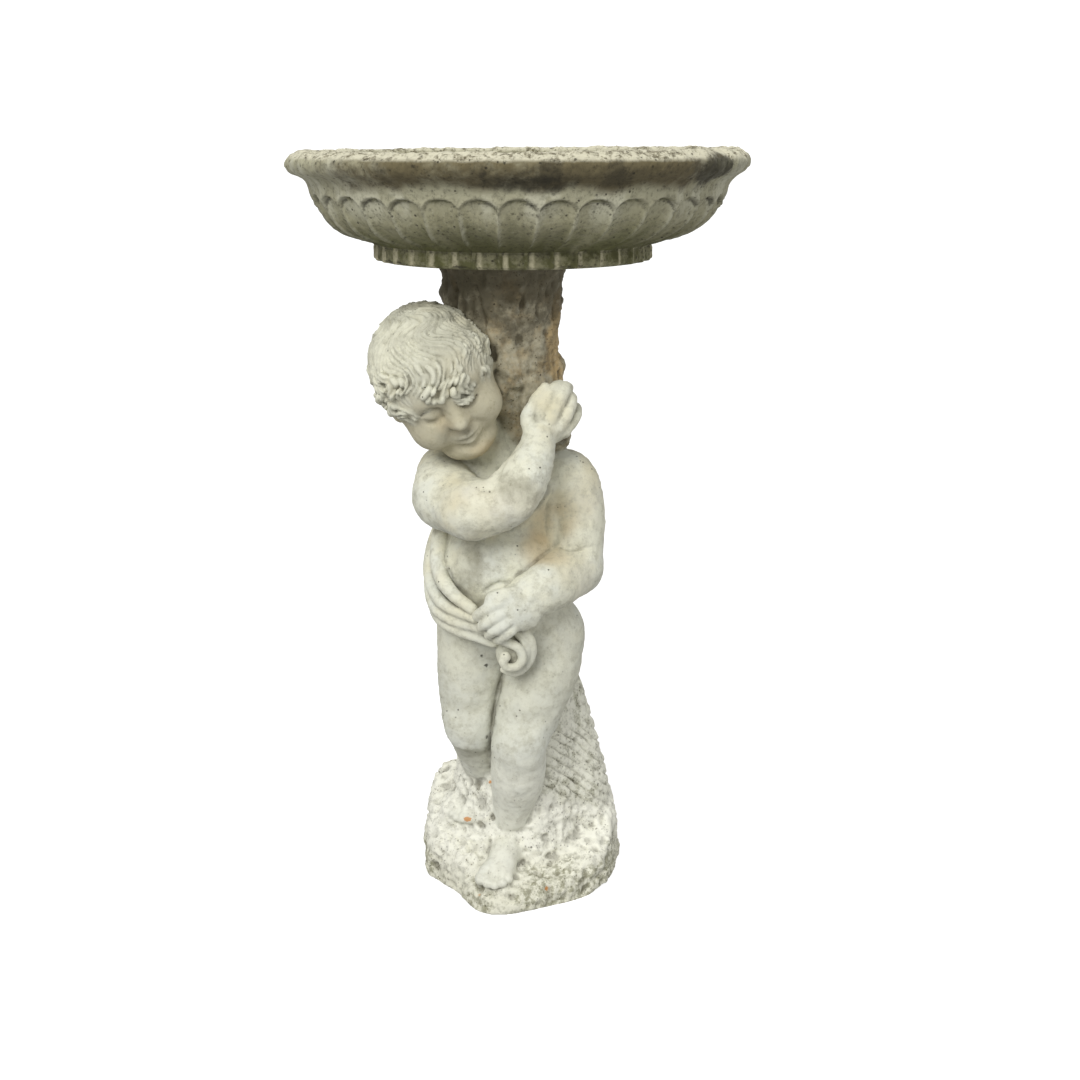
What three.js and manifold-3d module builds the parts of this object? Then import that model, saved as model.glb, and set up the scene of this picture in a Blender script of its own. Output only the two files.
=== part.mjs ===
// A cast-stone garden birdbath: a cherub standing against a tree trunk on a rocky base, all one
// casting, and a loose fluted bowl that rests on top of the trunk.
// Millimetres, +Z up. The cherub looks along -Y. The origin is on the ground under the bowl's middle.
import * as THREE from 'three';
import { mergeVertices } from 'three/addons/utils/BufferGeometryUtils.js';
import Module from 'manifold-3d';

const wasm = await Module();
wasm.setup();

// ---------------------------------------------------------------- driving dimensions
const overallHeight = 755;
const bowl = {
  diameter: 430, // over the rounded lip
  height: 102,
  footDiameter: 264,
  footHeight: 15,
  wall: 20,
  floor: 34, // thickness under the middle of the dish
  flutes: 36,
  fluteDepth: 3.2,
  fluteTop: 60, // height of the arched flute heads above the bowl's underside
};
const restGap = 0.3; // the bowl rests on the trunk with this air between the two castings
const trunkTop = overallHeight - bowl.height - restGap;
const trunk = { topRadius: 59, waist: 53, rootRadius: 66, bark: 2.6 };
const base = { slab: 18, front: 69, slope: 0.4, rise: 66, lump: 20, roughness: 2 };

// Places on the figure. Right and left are the cherub's own, so its right is at -X.
const figure = {
  neck: [-34, -22, 486],
  chest: [-20, -6, 432],
  belly: [-18, -14, 352],
  pelvis: [-10, -6, 284],
  shoulderRight: [-74, -18, 452],
  upperArmRight: [-69, -53, 436],
  elbowRight: [-34, -88, 430],
  wristRight: [15, -72, 484],
  handRight: [27, -52, 508],
  shoulderLeft: [48, -4, 434],
  elbowLeft: [52, -13, 356],
  wristLeft: [12, -64, 330],
  handLeft: [-12, -74, 326],
  hipRight: [-48, -6, 262],
  kneeRight: [-51, -12, 184],
  ankleRight: [-32, 42, 92],
  toesRight: [-66, 14, 72],
  hipLeft: [26, -6, 262],
  kneeLeft: [-2, -36, 170],
  calfLeft: [-2, -24, 128],
  ankleLeft: [-12, -8, 62],
  toesLeft: [-24, -46, 34],
};
const head = { centre: [-78, -48, 548], roll: 26, pitch: 24, yaw: 6, width: 108, depth: 126, height: 148 };

// ---------------------------------------------------------------- solids and their joining
function solidOf(geometry) {
  const bare = geometry.clone();
  bare.deleteAttribute('normal');
  bare.deleteAttribute('uv');
  const merged = mergeVertices(bare, 1e-3);
  const place = merged.getAttribute('position');
  const corners = [];
  let volume = 0;
  const a = new THREE.Vector3();
  const b = new THREE.Vector3();
  const c = new THREE.Vector3();
  for (let i = 0; i < merged.index.count; i += 3) {
    const [p, q, r] = [0, 1, 2].map((k) => merged.index.getX(i + k));
    if (p === q || q === r || r === p) continue;
    corners.push(p, q, r);
    a.fromBufferAttribute(place, p);
    b.fromBufferAttribute(place, q);
    c.fromBufferAttribute(place, r);
    volume += a.dot(b.cross(c));
  }
  if (volume < 0) corners.reverse();
  const mesh = new wasm.Mesh({
    numProp: 3,
    vertProperties: new Float32Array(place.array),
    triVerts: new Uint32Array(corners),
  });
  return new wasm.Manifold(mesh);
}

function joined(geometries) {
  return geometries.map(solidOf).reduce((whole, piece) => whole.add(piece));
}

// Overlapping shapes can trap small air pockets. Only the outer skin is kept, so the casting is solid.
function outerSkin(solid) {
  return solid.decompose().reduce((a, b) => (a.volume() > b.volume() ? a : b));
}

function meshOf(solid, name, material) {
  const { vertProperties, triVerts } = solid.getMesh();
  const geometry = new THREE.BufferGeometry();
  geometry.setAttribute('position', new THREE.BufferAttribute(vertProperties, 3));
  geometry.setIndex(new THREE.BufferAttribute(triVerts, 1));
  geometry.computeVertexNormals();
  const mesh = new THREE.Mesh(geometry, material);
  mesh.name = name;
  return mesh;
}

// ---------------------------------------------------------------- building blocks
function eachVertex(geometry, move) {
  const place = geometry.getAttribute('position');
  const v = new THREE.Vector3();
  for (let i = 0; i < place.count; i += 1) {
    v.fromBufferAttribute(place, i);
    move(v, i);
    place.setXYZ(i, v.x, v.y, v.z);
  }
  return geometry;
}

function ball(centre, radii, sides = 12, turn = [0, 0, 0]) {
  const geometry = new THREE.SphereGeometry(1, sides, Math.round(sides * 0.6));
  geometry.rotateX(Math.PI / 2);
  geometry.scale(...radii);
  geometry.applyMatrix4(new THREE.Matrix4().makeRotationFromEuler(new THREE.Euler(...turn)));
  return geometry.translate(...centre);
}

// A round-ended limb, finger or fold: a lathe bent along a smooth curve through the given points.
function limb(points, radii, sides = 12, rings = 7, flat = 1) {
  const curve = new THREE.CatmullRomCurve3(points.map((p) => new THREE.Vector3(...p)));
  const length = curve.getLength();
  const widthAt = (t) => {
    const place = THREE.MathUtils.clamp(t, 0, 1) * (radii.length - 1);
    const low = Math.min(Math.floor(place), radii.length - 2);
    return THREE.MathUtils.lerp(radii[low], radii[low + 1], place - low);
  };
  const first = radii[0] / length;
  const last = radii[radii.length - 1] / length;
  const capAngles = [0, 50].map(THREE.MathUtils.degToRad);
  const profile = [];
  for (const angle of capAngles) {
    profile.push(new THREE.Vector2(radii[0] * Math.sin(angle), -first * Math.cos(angle)));
  }
  for (let i = 0; i <= rings; i += 1) {
    profile.push(new THREE.Vector2(widthAt(i / rings), i / rings));
  }
  for (const angle of [...capAngles].reverse()) {
    profile.push(new THREE.Vector2(radii[radii.length - 1] * Math.sin(angle), 1 + last * Math.cos(angle)));
  }
  const geometry = new THREE.LatheGeometry(profile, sides);
  const steps = 40;
  const { tangents, normals, binormals } = curve.computeFrenetFrames(steps);
  return eachVertex(geometry, (v) => {
    const t = THREE.MathUtils.clamp(v.y, 0, 1);
    const beyond = (v.y - t) * length;
    const k = Math.round(t * steps);
    const [across, out] = [v.x, v.z * flat];
    v.copy(curve.getPointAt(t));
    v.addScaledVector(normals[k], across);
    v.addScaledVector(binormals[k], out);
    v.addScaledVector(tangents[k], beyond);
  });
}

function between(a, b, share) {
  return a.map((value, i) => THREE.MathUtils.lerp(value, b[i], share));
}

function shifted(a, dx, dy, dz) {
  return [a[0] + dx, a[1] + dy, a[2] + dz];
}

const wave = (x, y, z) => Math.sin(x) * Math.cos(y * 1.3 + 0.7) + 0.5 * Math.sin(z * 2.1 + x * 1.7);

// ---------------------------------------------------------------- base and trunk
const baseOutline = [[-30, -69], [-68, -28], [-93, 12], [-104, 58], [-94, 106], [-48, 138], [14, 144], [74, 122],
  [103, 78], [105, 34], [82, -22], [40, -56]];

// The ground climbs from the front of the slab towards the trunk.
function groundAt(x, y) {
  const climb = THREE.MathUtils.clamp((y + base.front) * base.slope, 0, base.rise);
  const lump = base.lump * Math.exp(-(((x + 66) / 32) ** 2) - ((y - 78) / 32) ** 2);
  return base.slab + climb + lump;
}

function rockyBase() {
  const profile = [[0, 0], [0.96, 0], [1, 0.4], [0.97, 1], [0.82, 1], [0.6, 1], [0.32, 1], [0, 1]];
  const sides = 26;
  const outline = new THREE.CatmullRomCurve3(baseOutline.map(([x, y]) => new THREE.Vector3(x, y, 0)), true);
  const middle = new THREE.Vector3(0, 38, 0);
  const geometry = new THREE.LatheGeometry(profile.map((p) => new THREE.Vector2(...p)), sides);
  return eachVertex(geometry, (v, index) => {
    const share = Math.hypot(v.x, v.z);
    const level = v.y;
    const side = Math.floor(index / profile.length) % sides;
    const edge = outline.getPointAt(side / sides);
    v.lerpVectors(middle, edge, share);
    const settled = THREE.MathUtils.smoothstep(1 - share, 0, 0.22);
    const top = THREE.MathUtils.lerp(base.slab, groundAt(v.x, v.y), settled);
    const rough = base.roughness * wave(v.x / 11, v.y / 12, share * 4);
    v.z = level < 1 ? level * base.slab : top + rough;
  });
}

const trunkLine = [[-4, 52, 40], [0, 52, 130], [-4, 48, 260], [-8, 42, 400], [-9, 30, 500], [-14, 16, 560], [-16, 10, 620]];

function treeTrunk() {
  const radii = [[trunk.rootRadius + 12, 40], [trunk.rootRadius, 110], [58, 220], [56, 360], [57, 500],
    [trunk.waist, 570], [trunk.waist + 1, 606], [trunk.topRadius, 628], [trunk.topRadius - 1, trunkTop]];
  const line = new THREE.CatmullRomCurve3(trunkLine.map((p) => new THREE.Vector3(...p)));
  const marks = line.getPoints(60);
  const axisAt = (z) => marks.reduce((best, m) => (Math.abs(m.z - z) < Math.abs(best.z - z) ? m : best));
  const profile = [new THREE.Vector2(0, radii[0][1])];
  for (let i = 0; i < radii.length - 1; i += 1) {
    const [[r0, z0], [r1, z1]] = [radii[i], radii[i + 1]];
    const shares = z1 - z0 > 60 ? [0, 0.5] : [0];
    for (const share of shares) {
      profile.push(new THREE.Vector2(r0 + (r1 - r0) * share, z0 + (z1 - z0) * share));
    }
  }
  profile.push(new THREE.Vector2(trunk.topRadius - 1, trunkTop), new THREE.Vector2(0, trunkTop));
  const geometry = new THREE.LatheGeometry(profile, 15);
  geometry.rotateX(Math.PI / 2);
  return eachVertex(geometry, (v) => {
    const turn = Math.atan2(v.y, v.x);
    const axis = axisAt(v.z);
    const groove = Math.sin(turn * 9 + v.z / 34) + 0.6 * Math.sin(turn * 4 - v.z / 19);
    const radius = Math.hypot(v.x, v.y);
    const share = radius > 1 ? (radius + trunk.bark * groove) / radius : 1;
    v.x = axis.x + v.x * share;
    v.y = axis.y + v.y * share;
  });
}

// The root buttress that flares out on the cherub's left side, ribbed by slanting bark.
function rootButtress() {
  const pieces = [limb([[34, 56, 232], [46, 58, 165], [56, 56, 96], [58, 56, 70]], [20, 30, 38, 36], 10, 3)];
  const ribs = 4;
  for (let i = 0; i < ribs; i += 1) {
    const z = 86 + i * 28;
    const reach = 90 - i * 8;
    pieces.push(limb([[14, 20, z + 26], [48 - i * 3, 22, z + 6], [reach - 6, 44, z - 10]], [5, 7, 5], 5, 3));
  }
  return pieces;
}

// ---------------------------------------------------------------- figure
function torso() {
  return [
    limb([figure.chest, shifted(figure.belly, 0, 0, 24), figure.pelvis], [58, 64, 71, 72, 70], 12, 5, 0.74),
    limb([shifted(figure.neck, 6, 4, -20), figure.neck, shifted(figure.neck, -12, -4, 22)], [34, 30, 31], 9, 1),
  ];
}

function armRight() {
  const { shoulderRight, upperArmRight, elbowRight, wristRight } = figure;
  const fore = between(elbowRight, wristRight, 0.45);
  return [
    limb([shoulderRight, upperArmRight, elbowRight], [32, 33, 28], 10, 3),
    limb([elbowRight, shifted(fore, 2, -4, -2), wristRight], [27, 28, 17], 10, 3),
    ...fist(figure.handRight, [0, 0.25, 0.5], [[-17, 0, 8], [-6, -3, 14], [6, -1, 15], [16, 4, 11]], [2, 6, -30]),
  ];
}

function armLeft() {
  const { shoulderLeft, elbowLeft, wristLeft } = figure;
  const fore = between(elbowLeft, wristLeft, 0.45);
  return [
    limb([shoulderLeft, shifted(between(shoulderLeft, elbowLeft, 0.5), 4, 0, 0), elbowLeft], [31, 27, 26], 10, 3),
    limb([elbowLeft, shifted(fore, 2, -3, -2), wristLeft], [27, 24, 17], 10, 3),
    ...fist(figure.handLeft, [0, 0.1, 0.4], [[-12, 2, 13], [-14, 1, 4], [-13, 0, -6], [-9, -1, -15]], [-16, -1, -14]),
  ];
}

// A plump closed hand: a palm and four bent fingers laid side by side.
function fist(centre, turn, starts, reach) {
  const fingers = starts.map((start) => {
    const root = shifted(centre, ...start);
    const bend = shifted(root, reach[0] * 0.55, reach[1] - 7, reach[2] * 0.4);
    return limb([root, bend, shifted(root, ...reach)], [7.5, 7, 5.5], 5, 1);
  });
  return [ball(centre, [23, 17, 24], 9, turn), ...fingers];
}

function legs() {
  const { hipRight, kneeRight, ankleRight, toesRight, hipLeft, kneeLeft, calfLeft, ankleLeft, toesLeft } = figure;
  return [
    limb([hipRight, between(hipRight, kneeRight, 0.5), kneeRight], [36, 34, 25], 10, 3),
    limb([kneeRight, between(kneeRight, ankleRight, 0.4), ankleRight], [25, 24, 15], 10, 3),
    limb([hipLeft, shifted(between(hipLeft, kneeLeft, 0.5), 4, -4, 0), kneeLeft], [39, 37, 27], 10, 3),
    limb([kneeLeft, calfLeft, ankleLeft], [26, 25, 16], 10, 3),
    ...foot(ankleRight, toesRight),
    ...foot(ankleLeft, toesLeft),
  ];
}

function foot(ankle, toes) {
  const heel = shifted(ankle, (ankle[0] - toes[0]) * 0.3, (ankle[1] - toes[1]) * 0.3, -20);
  const ahead = new THREE.Vector3(toes[0] - heel[0], toes[1] - heel[1], 0).normalize();
  const pieces = [limb([heel, between(heel, toes, 0.55), toes], [15, 17, 17], 8, 2, 0.8)];
  for (let i = 0; i < 5; i += 1) {
    const side = (i - 2) * 7.2;
    const reach = 16;
    const middle = shifted(toes, -ahead.y * side + ahead.x * reach, ahead.x * side + ahead.y * reach, -6);
    pieces.push(ball(middle, [6, 6, 5.5], 6));
  }
  return pieces;
}

// Four rope-like folds of cloth from the right flank, across the belly, to a curl under the left hand.
function sash() {
  const folds = 4;
  const pieces = [];
  for (let i = 0; i < folds; i += 1) {
    const drop = i * 14;
    pieces.push(limb([
      [-60 - i * 3, 24, 392 - drop],
      [-84 - i, 0, 372 - drop],
      [-80, -34, 338 - drop],
      [-56, -54 + i * 2, 308 - drop * 0.9],
      [-26, -62 + i, 290 - drop * 0.5],
      [2, -60, 282 - drop * 0.3],
    ], [6, 8, 8, 7, 6, 5], 5, 6));
  }
  const turns = 1.35;
  const curl = [];
  for (let i = 0; i <= 10; i += 1) {
    const share = i / 10;
    const angle = THREE.MathUtils.degToRad(80 - 360 * turns * share);
    const radius = 21 * (1 - 0.72 * share);
    curl.push([-6 + radius * Math.cos(angle), -62 - 8 * share, 274 + radius * Math.sin(angle)]);
  }
  pieces.push(limb(curl, [8, 7.5, 6, 5], 5, 10));
  return pieces;
}

// ---------------------------------------------------------------- head
function headParts() {
  const [w, d, h] = [head.width / 2, head.depth / 2, head.height / 2];
  const parts = [
    ball([0, 4, 0.06 * h], [0.92 * w, 0.9 * d, 0.76 * h], 12),
    ball([0, -0.34 * d, -0.3 * h], [0.76 * w, 0.56 * d, 0.62 * h], 12),
    ball([0, -0.62 * d, -0.78 * h], [12, 11, 10], 7),
    ball([0, -0.95 * d, -0.34 * h], [7, 8, 7], 6),
    limb([[0, -0.88 * d, -0.05 * h], [0, -0.93 * d, -0.3 * h]], [4.5, 6], 6, 1),
    limb([[-9, -0.84 * d, -0.56 * h], [0, -0.9 * d, -0.55 * h], [9, -0.84 * d, -0.56 * h]], [1.5, 3, 1.5], 5, 2),
    limb([[-7, -0.82 * d, -0.63 * h], [0, -0.87 * d, -0.64 * h], [7, -0.82 * d, -0.63 * h]], [1.5, 3, 1.5], 5, 2),
  ];
  for (const side of [-1, 1]) {
    parts.push(ball([side * 0.42 * w, -0.62 * d, -0.42 * h], [17, 15, 17], 7));
    parts.push(ball([side * 0.36 * w, -0.74 * d, -0.14 * h], [8, 5, 5], 6));
    parts.push(ball([side * 0.92 * w, -0.02 * d, -0.2 * h], [6, 11, 15], 6));
  }
  return parts;
}

function hair() {
  const [w, d, h] = [head.width / 2, head.depth / 2, head.height / 2];
  const cap = new THREE.SphereGeometry(1, 18, 8);
  cap.rotateX(Math.PI / 2);
  eachVertex(cap, (v) => {
    const round = Math.atan2(v.y, v.x);
    const level = Math.acos(THREE.MathUtils.clamp(v.z, -1, 1));
    const strands = 0.028 * Math.sin(10 * round + 3 * Math.sin(4 * level)) * Math.sin(level);
    v.multiplyScalar(1 + strands);
    v.set(v.x * w, v.y * d * 0.96 + 0.1 * d, v.z * 0.74 * h + 0.15 * h);
  });
  const locks = [];
  const count = 4;
  for (let i = 0; i < count; i += 1) {
    const turn = THREE.MathUtils.degToRad(-165 + (150 / (count - 1)) * i);
    const across = Math.cos(turn);
    const ahead = Math.sin(turn);
    locks.push(limb([
      [0.7 * w * across, 0.5 * d * ahead + 4, 0.58 * h],
      [0.95 * w * across, 0.84 * d * ahead, 0.42 * h],
      [0.98 * w * across, 0.9 * d * ahead, (0.16 + 0.12 * (i % 2)) * h],
    ], [6, 7, 4], 5, 2));
  }
  return [cap, ...locks];
}

function placedHead() {
  const turn = new THREE.Euler(...[head.pitch, -head.roll, head.yaw].map(THREE.MathUtils.degToRad), 'YXZ');
  const place = new THREE.Matrix4().makeRotationFromEuler(turn).setPosition(...head.centre);
  return [...headParts(), ...hair()].map((piece) => piece.applyMatrix4(place));
}

// ---------------------------------------------------------------- bowl
// The section of the bowl, from the middle of the underside out to the lip and back to the dish's middle.
function bowlSection() {
  const rim = bowl.diameter / 2;
  const foot = bowl.footDiameter / 2;
  const top = bowl.height;
  const dish = rim - 15 - bowl.wall;
  const underside = [[0, 0], [foot, 0], [foot - 1, bowl.footHeight]];
  const belly = [[rim - 63.5, 18.5], [rim - 47, 26], [rim - 33, 35], [rim - 25, 46]];
  const lip = [[rim - 23, bowl.fluteTop], [rim - 18, 72], [rim - 4, 83], [rim, 90], [rim - 3, 99]];
  const inside = [[rim - 12, top], [dish, 80], [dish - 42, bowl.floor + 8], [0, bowl.floor]];
  const points = [...underside, ...belly, ...lip, ...inside].map((p) => new THREE.Vector2(...p));
  return { points, firstFluted: underside.length - 1, lastFluted: underside.length + belly.length - 1 };
}

function flutedBowl() {
  const { points, firstFluted, lastFluted } = bowlSection();
  const geometry = new THREE.LatheGeometry(points, bowl.flutes * 3);
  geometry.rotateX(Math.PI / 2);
  eachVertex(geometry, (v, index) => {
    const ring = index % points.length;
    const onRidge = Math.floor(index / points.length) % 3 === 0;
    if (onRidge || ring < firstFluted || ring > lastFluted) return;
    const radius = Math.hypot(v.x, v.y);
    const share = (radius - bowl.fluteDepth) / radius;
    v.x *= share;
    v.y *= share;
  });
  return geometry.translate(0, 0, overallHeight - bowl.height);
}

// ---------------------------------------------------------------- the two castings
const castStone = new THREE.MeshStandardMaterial({ color: 0xc6c1ae, roughness: 0.93, metalness: 0 });
const mossyStone = new THREE.MeshStandardMaterial({ color: 0x9a987f, roughness: 0.95, metalness: 0 });

function cherubPedestal() {
  const pieces = [
    rockyBase(),
    treeTrunk(),
    ...rootButtress(),
    ...torso(),
    ...legs(),
    ...armRight(),
    ...armLeft(),
    ...sash(),
    ...placedHead(),
  ];
  return meshOf(outerSkin(joined(pieces)), 'cherub_pedestal', castStone);
}

const group = new THREE.Group();
group.name = 'cherub_birdbath';
group.add(cherubPedestal(), meshOf(solidOf(flutedBowl()), 'bowl', mossyStone));
export default group;
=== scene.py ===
import math
import bpy
import bmesh
import numpy as np
from mathutils import Euler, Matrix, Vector


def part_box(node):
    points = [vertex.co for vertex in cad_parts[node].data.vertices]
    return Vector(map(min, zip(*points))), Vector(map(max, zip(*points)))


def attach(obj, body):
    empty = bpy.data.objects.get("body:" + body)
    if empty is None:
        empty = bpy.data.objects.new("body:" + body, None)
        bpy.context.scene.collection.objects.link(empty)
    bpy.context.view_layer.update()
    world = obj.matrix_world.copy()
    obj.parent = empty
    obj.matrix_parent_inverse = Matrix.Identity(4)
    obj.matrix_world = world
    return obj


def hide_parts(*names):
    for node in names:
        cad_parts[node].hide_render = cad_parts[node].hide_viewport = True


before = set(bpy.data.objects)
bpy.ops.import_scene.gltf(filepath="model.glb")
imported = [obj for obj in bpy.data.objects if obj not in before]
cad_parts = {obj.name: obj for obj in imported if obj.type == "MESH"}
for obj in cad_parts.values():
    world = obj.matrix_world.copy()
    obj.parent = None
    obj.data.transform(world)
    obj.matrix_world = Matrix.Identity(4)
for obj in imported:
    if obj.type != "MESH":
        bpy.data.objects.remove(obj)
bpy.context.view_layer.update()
millimetre = 0.001


# ---------- noise for worn stone, the same on every run ----------
lattice = np.random.default_rng(11).random((48, 48, 48)).astype(np.float32) * 2 - 1


def cloud(points, size, shift=0.0):
    # smooth random values from -1 to 1, with blobs about one size across
    scaled = points / size + np.array([17.3, 5.7, 31.1]) * (1 + shift)
    cell = np.floor(scaled).astype(np.int64)
    part = scaled - cell
    part = part * part * (3 - 2 * part)
    low = cell % 48
    high = (low + 1) % 48
    (x0, y0, z0), (x1, y1, z1) = low.T, high.T
    u, v, w = part.T
    near = (lattice[x0, y0, z0] * (1 - u) + lattice[x1, y0, z0] * u) * (1 - v) \
        + (lattice[x0, y1, z0] * (1 - u) + lattice[x1, y1, z0] * u) * v
    far = (lattice[x0, y0, z1] * (1 - u) + lattice[x1, y0, z1] * u) * (1 - v) \
        + (lattice[x0, y1, z1] * (1 - u) + lattice[x1, y1, z1] * u) * v
    return near * (1 - w) + far * w


def layers(points, size, count=3, fade=0.55, shift=0.0):
    total, strength = 0, 1.0
    for step in range(count):
        total = total + strength * cloud(points, size / 2 ** step, shift + step)
        strength *= fade
    return total


def pits(points, size, radius, share, shift=0.0):
    # how deep each point lies in a scatter of round pits, 0 to 1; share of the cells hold a pit
    scaled = points / size + shift * 7.7
    cell = np.floor(scaled).astype(np.int64)
    deepest = np.zeros(len(points), np.float32)
    for dx in (-1, 0, 1):
        for dy in (-1, 0, 1):
            for dz in (-1, 0, 1):
                near = cell + (dx, dy, dz)
                a, b, c = (near % 48).T
                spot = near + 0.5 + 0.35 * np.stack([lattice[a, b, c], lattice[b, c, a], lattice[c, a, b]], 1)
                wanted = lattice[(a + 7) % 48, b, (c + 13) % 48] * 0.5 + 0.5 < share
                reach = radius * (0.6 + 0.4 * lattice[a, (b + 5) % 48, (c + 3) % 48])
                away = np.linalg.norm(scaled - spot, axis=1)
                depth = np.clip(1 - away / reach, 0, 1) * wanted
                deepest = np.maximum(deepest, depth)
    return deepest


def smooth(value, low, high):
    t = np.clip((value - low) / (high - low), 0, 1)
    return t * t * (3 - 2 * t)


# ---------- clay: signed distances on a grid, modelled by adding and carving soft shapes ----------
def melt(a, b, blend):
    h = np.maximum(blend - np.abs(a - b), 0) / blend
    return np.minimum(a, b) - h * h * blend * 0.25


class Clay:
    empty = 40.0

    def __init__(self, axes, low=None, high=None):
        self.axes = axes
        self.first = [0 if low is None else max(int(np.searchsorted(axis, low[i])) - 1, 0)
                      for i, axis in enumerate(axes)]
        self.last = [len(axis) if high is None else min(int(np.searchsorted(axis, high[i])) + 1, len(axis))
                     for i, axis in enumerate(axes)]
        shape = [b - a for a, b in zip(self.first, self.last)]
        self.field = np.full(shape, self.empty, np.float32)

    def window(self, low, high):
        # the part of this clay's field inside a box, and the coordinates of its grid lines
        spans = []
        for i, axis in enumerate(self.axes):
            a = max(int(np.searchsorted(axis, low[i])) - 1, self.first[i])
            b = min(int(np.searchsorted(axis, high[i])) + 1, self.last[i])
            spans.append((a, max(a, b)))
        view = self.field[tuple(slice(a - f, b - f) for (a, b), f in zip(spans, self.first))]
        lines = [axis[a:b].astype(np.float32) for axis, (a, b) in zip(self.axes, spans)]
        x, y, z = lines
        return view, x[:, None, None], y[None, :, None], z[None, None, :]

    def press(self, distance, low, high, blend=2.0, carve=False):
        margin = 1.3 * blend + 4
        view, x, y, z = self.window([v - margin for v in low], [v + margin for v in high])
        if not view.size:
            return
        made = distance(x, y, z)
        view[...] = -melt(-view, made, blend) if carve else melt(view, made, blend)

    def join(self, other, blend=2.0, carve=False):
        # melts in another clay, or carves it away, where the two windows overlap
        spans = [(max(a, c), min(b, d)) for a, b, c, d in zip(self.first, self.last, other.first, other.last)]
        if any(a >= b for a, b in spans):
            return
        mine = self.field[tuple(slice(a - f, b - f) for (a, b), f in zip(spans, self.first))]
        theirs = other.field[tuple(slice(a - f, b - f) for (a, b), f in zip(spans, other.first))]
        mine[...] = -melt(-mine, theirs, blend) if carve else melt(mine, theirs, blend)

    def lump(self, centre, radii, blend=4.0, turn=None, carve=False):
        # an ellipsoid, turned by a 3 x 3 matrix
        reach = max(radii)

        def distance(x, y, z):
            dx, dy, dz = x - centre[0], y - centre[1], z - centre[2]
            if turn is not None:
                dx, dy, dz = (turn[0][i] * dx + turn[1][i] * dy + turn[2][i] * dz for i in range(3))
            a, b, c = dx / radii[0], dy / radii[1], dz / radii[2]
            whole = np.sqrt(a * a + b * b + c * c) + 1e-6
            slope = np.sqrt((a / radii[0]) ** 2 + (b / radii[1]) ** 2 + (c / radii[2]) ** 2) + 1e-6
            return whole * (whole - 1) / slope
        self.press(distance, [v - reach for v in centre], [v + reach for v in centre], blend, carve)

    def rope(self, line, blend=2.0, steps=4, carve=False):
        # a round rope of changing thickness along a smooth curve through (x, y, z, radius) points
        route = smoothRoute(line, steps)
        wide = route[:, 3].max() + 1.3 * blend + 5
        own = Clay(self.axes, route[:, :3].min(0) - wide, route[:, :3].max(0) + wide)
        for a, b in zip(route[:-1], route[1:]):
            (ax, ay, az, ra), (lx, ly, lz, grow) = a, b - a
            length = lx * lx + ly * ly + lz * lz + 1e-9
            near = max(ra, ra + grow) + 1.3 * blend + 4
            view, x, y, z = own.window(np.minimum(a, b)[:3] - near, np.maximum(a, b)[:3] + near)
            if not view.size:
                continue
            dx, dy, dz = x - np.float32(ax), y - np.float32(ay), z - np.float32(az)
            t = np.clip((dx * np.float32(lx) + dy * np.float32(ly) + dz * np.float32(lz)) / np.float32(length), 0, 1)
            away = np.sqrt((dx - t * np.float32(lx)) ** 2 + (dy - t * np.float32(ly)) ** 2
                           + (dz - t * np.float32(lz)) ** 2)
            np.minimum(view, away - (np.float32(ra) + np.float32(grow) * t), out=view)
        self.join(own, blend, carve)

    def sample(self, points):
        # distances at any points by trilinear reading; far points read as empty
        part, cell, outside = [], [], np.zeros(len(points), bool)
        for i, axis in enumerate(self.axes):
            lines = axis[self.first[i]:self.last[i]]
            at = np.clip(np.searchsorted(lines, points[:, i]) - 1, 0, len(lines) - 2)
            t = (points[:, i] - lines[at]) / (lines[at + 1] - lines[at])
            outside |= (t < -1) | (t > 2)
            part.append(np.clip(t, 0, 1))
            cell.append(at)
        (i, j, k), (u, v, w) = cell, part
        f = self.field
        near = (f[i, j, k] * (1 - u) + f[i + 1, j, k] * u) * (1 - v) \
            + (f[i, j + 1, k] * (1 - u) + f[i + 1, j + 1, k] * u) * v
        far = (f[i, j, k + 1] * (1 - u) + f[i + 1, j, k + 1] * u) * (1 - v) \
            + (f[i, j + 1, k + 1] * (1 - u) + f[i + 1, j + 1, k + 1] * u) * v
        return np.where(outside, self.empty, near * (1 - w) + far * w)


def pressCrease(clay, line, width=2.6, depth=1.4, blend=3.0):
    # a fold of even depth along a line of points that lie near the surface
    route = smoothRoute(line, 5)[:, :3]
    ends = np.sin(np.linspace(0, math.pi, len(route))) ** 0.6
    out = width - depth * ends
    for _ in range(10):
        slope = np.stack([clay.sample(route + e) - clay.sample(route - e) for e in np.eye(3)], 1)
        slope /= np.linalg.norm(slope, axis=1, keepdims=True) + 1e-9
        route = route - slope * np.clip(clay.sample(route) - out, -3, 3)[:, None]
    clay.rope([tuple(p) + (width * (0.55 + 0.45 * e),) for p, e in zip(route, ends)], blend, 1, carve=True)
    return route


def smoothRoute(line, steps):
    # Catmull-Rom through the points, any number of values each
    p = np.array(line, float)
    if len(p) == 2:
        return p
    ends = np.vstack([2 * p[0] - p[1], p, 2 * p[-1] - p[-2]])
    route = []
    for a, b, c, d in zip(ends[:-3], ends[1:-2], ends[2:-1], ends[3:]):
        for t in np.arange(steps) / steps:
            route.append(0.5 * (2 * b + (c - a) * t + (2 * a - 5 * b + 4 * c - d) * t * t
                                + (3 * b - a - 3 * c + d) * t ** 3))
    return np.vstack(route + [p[-1]])


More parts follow.
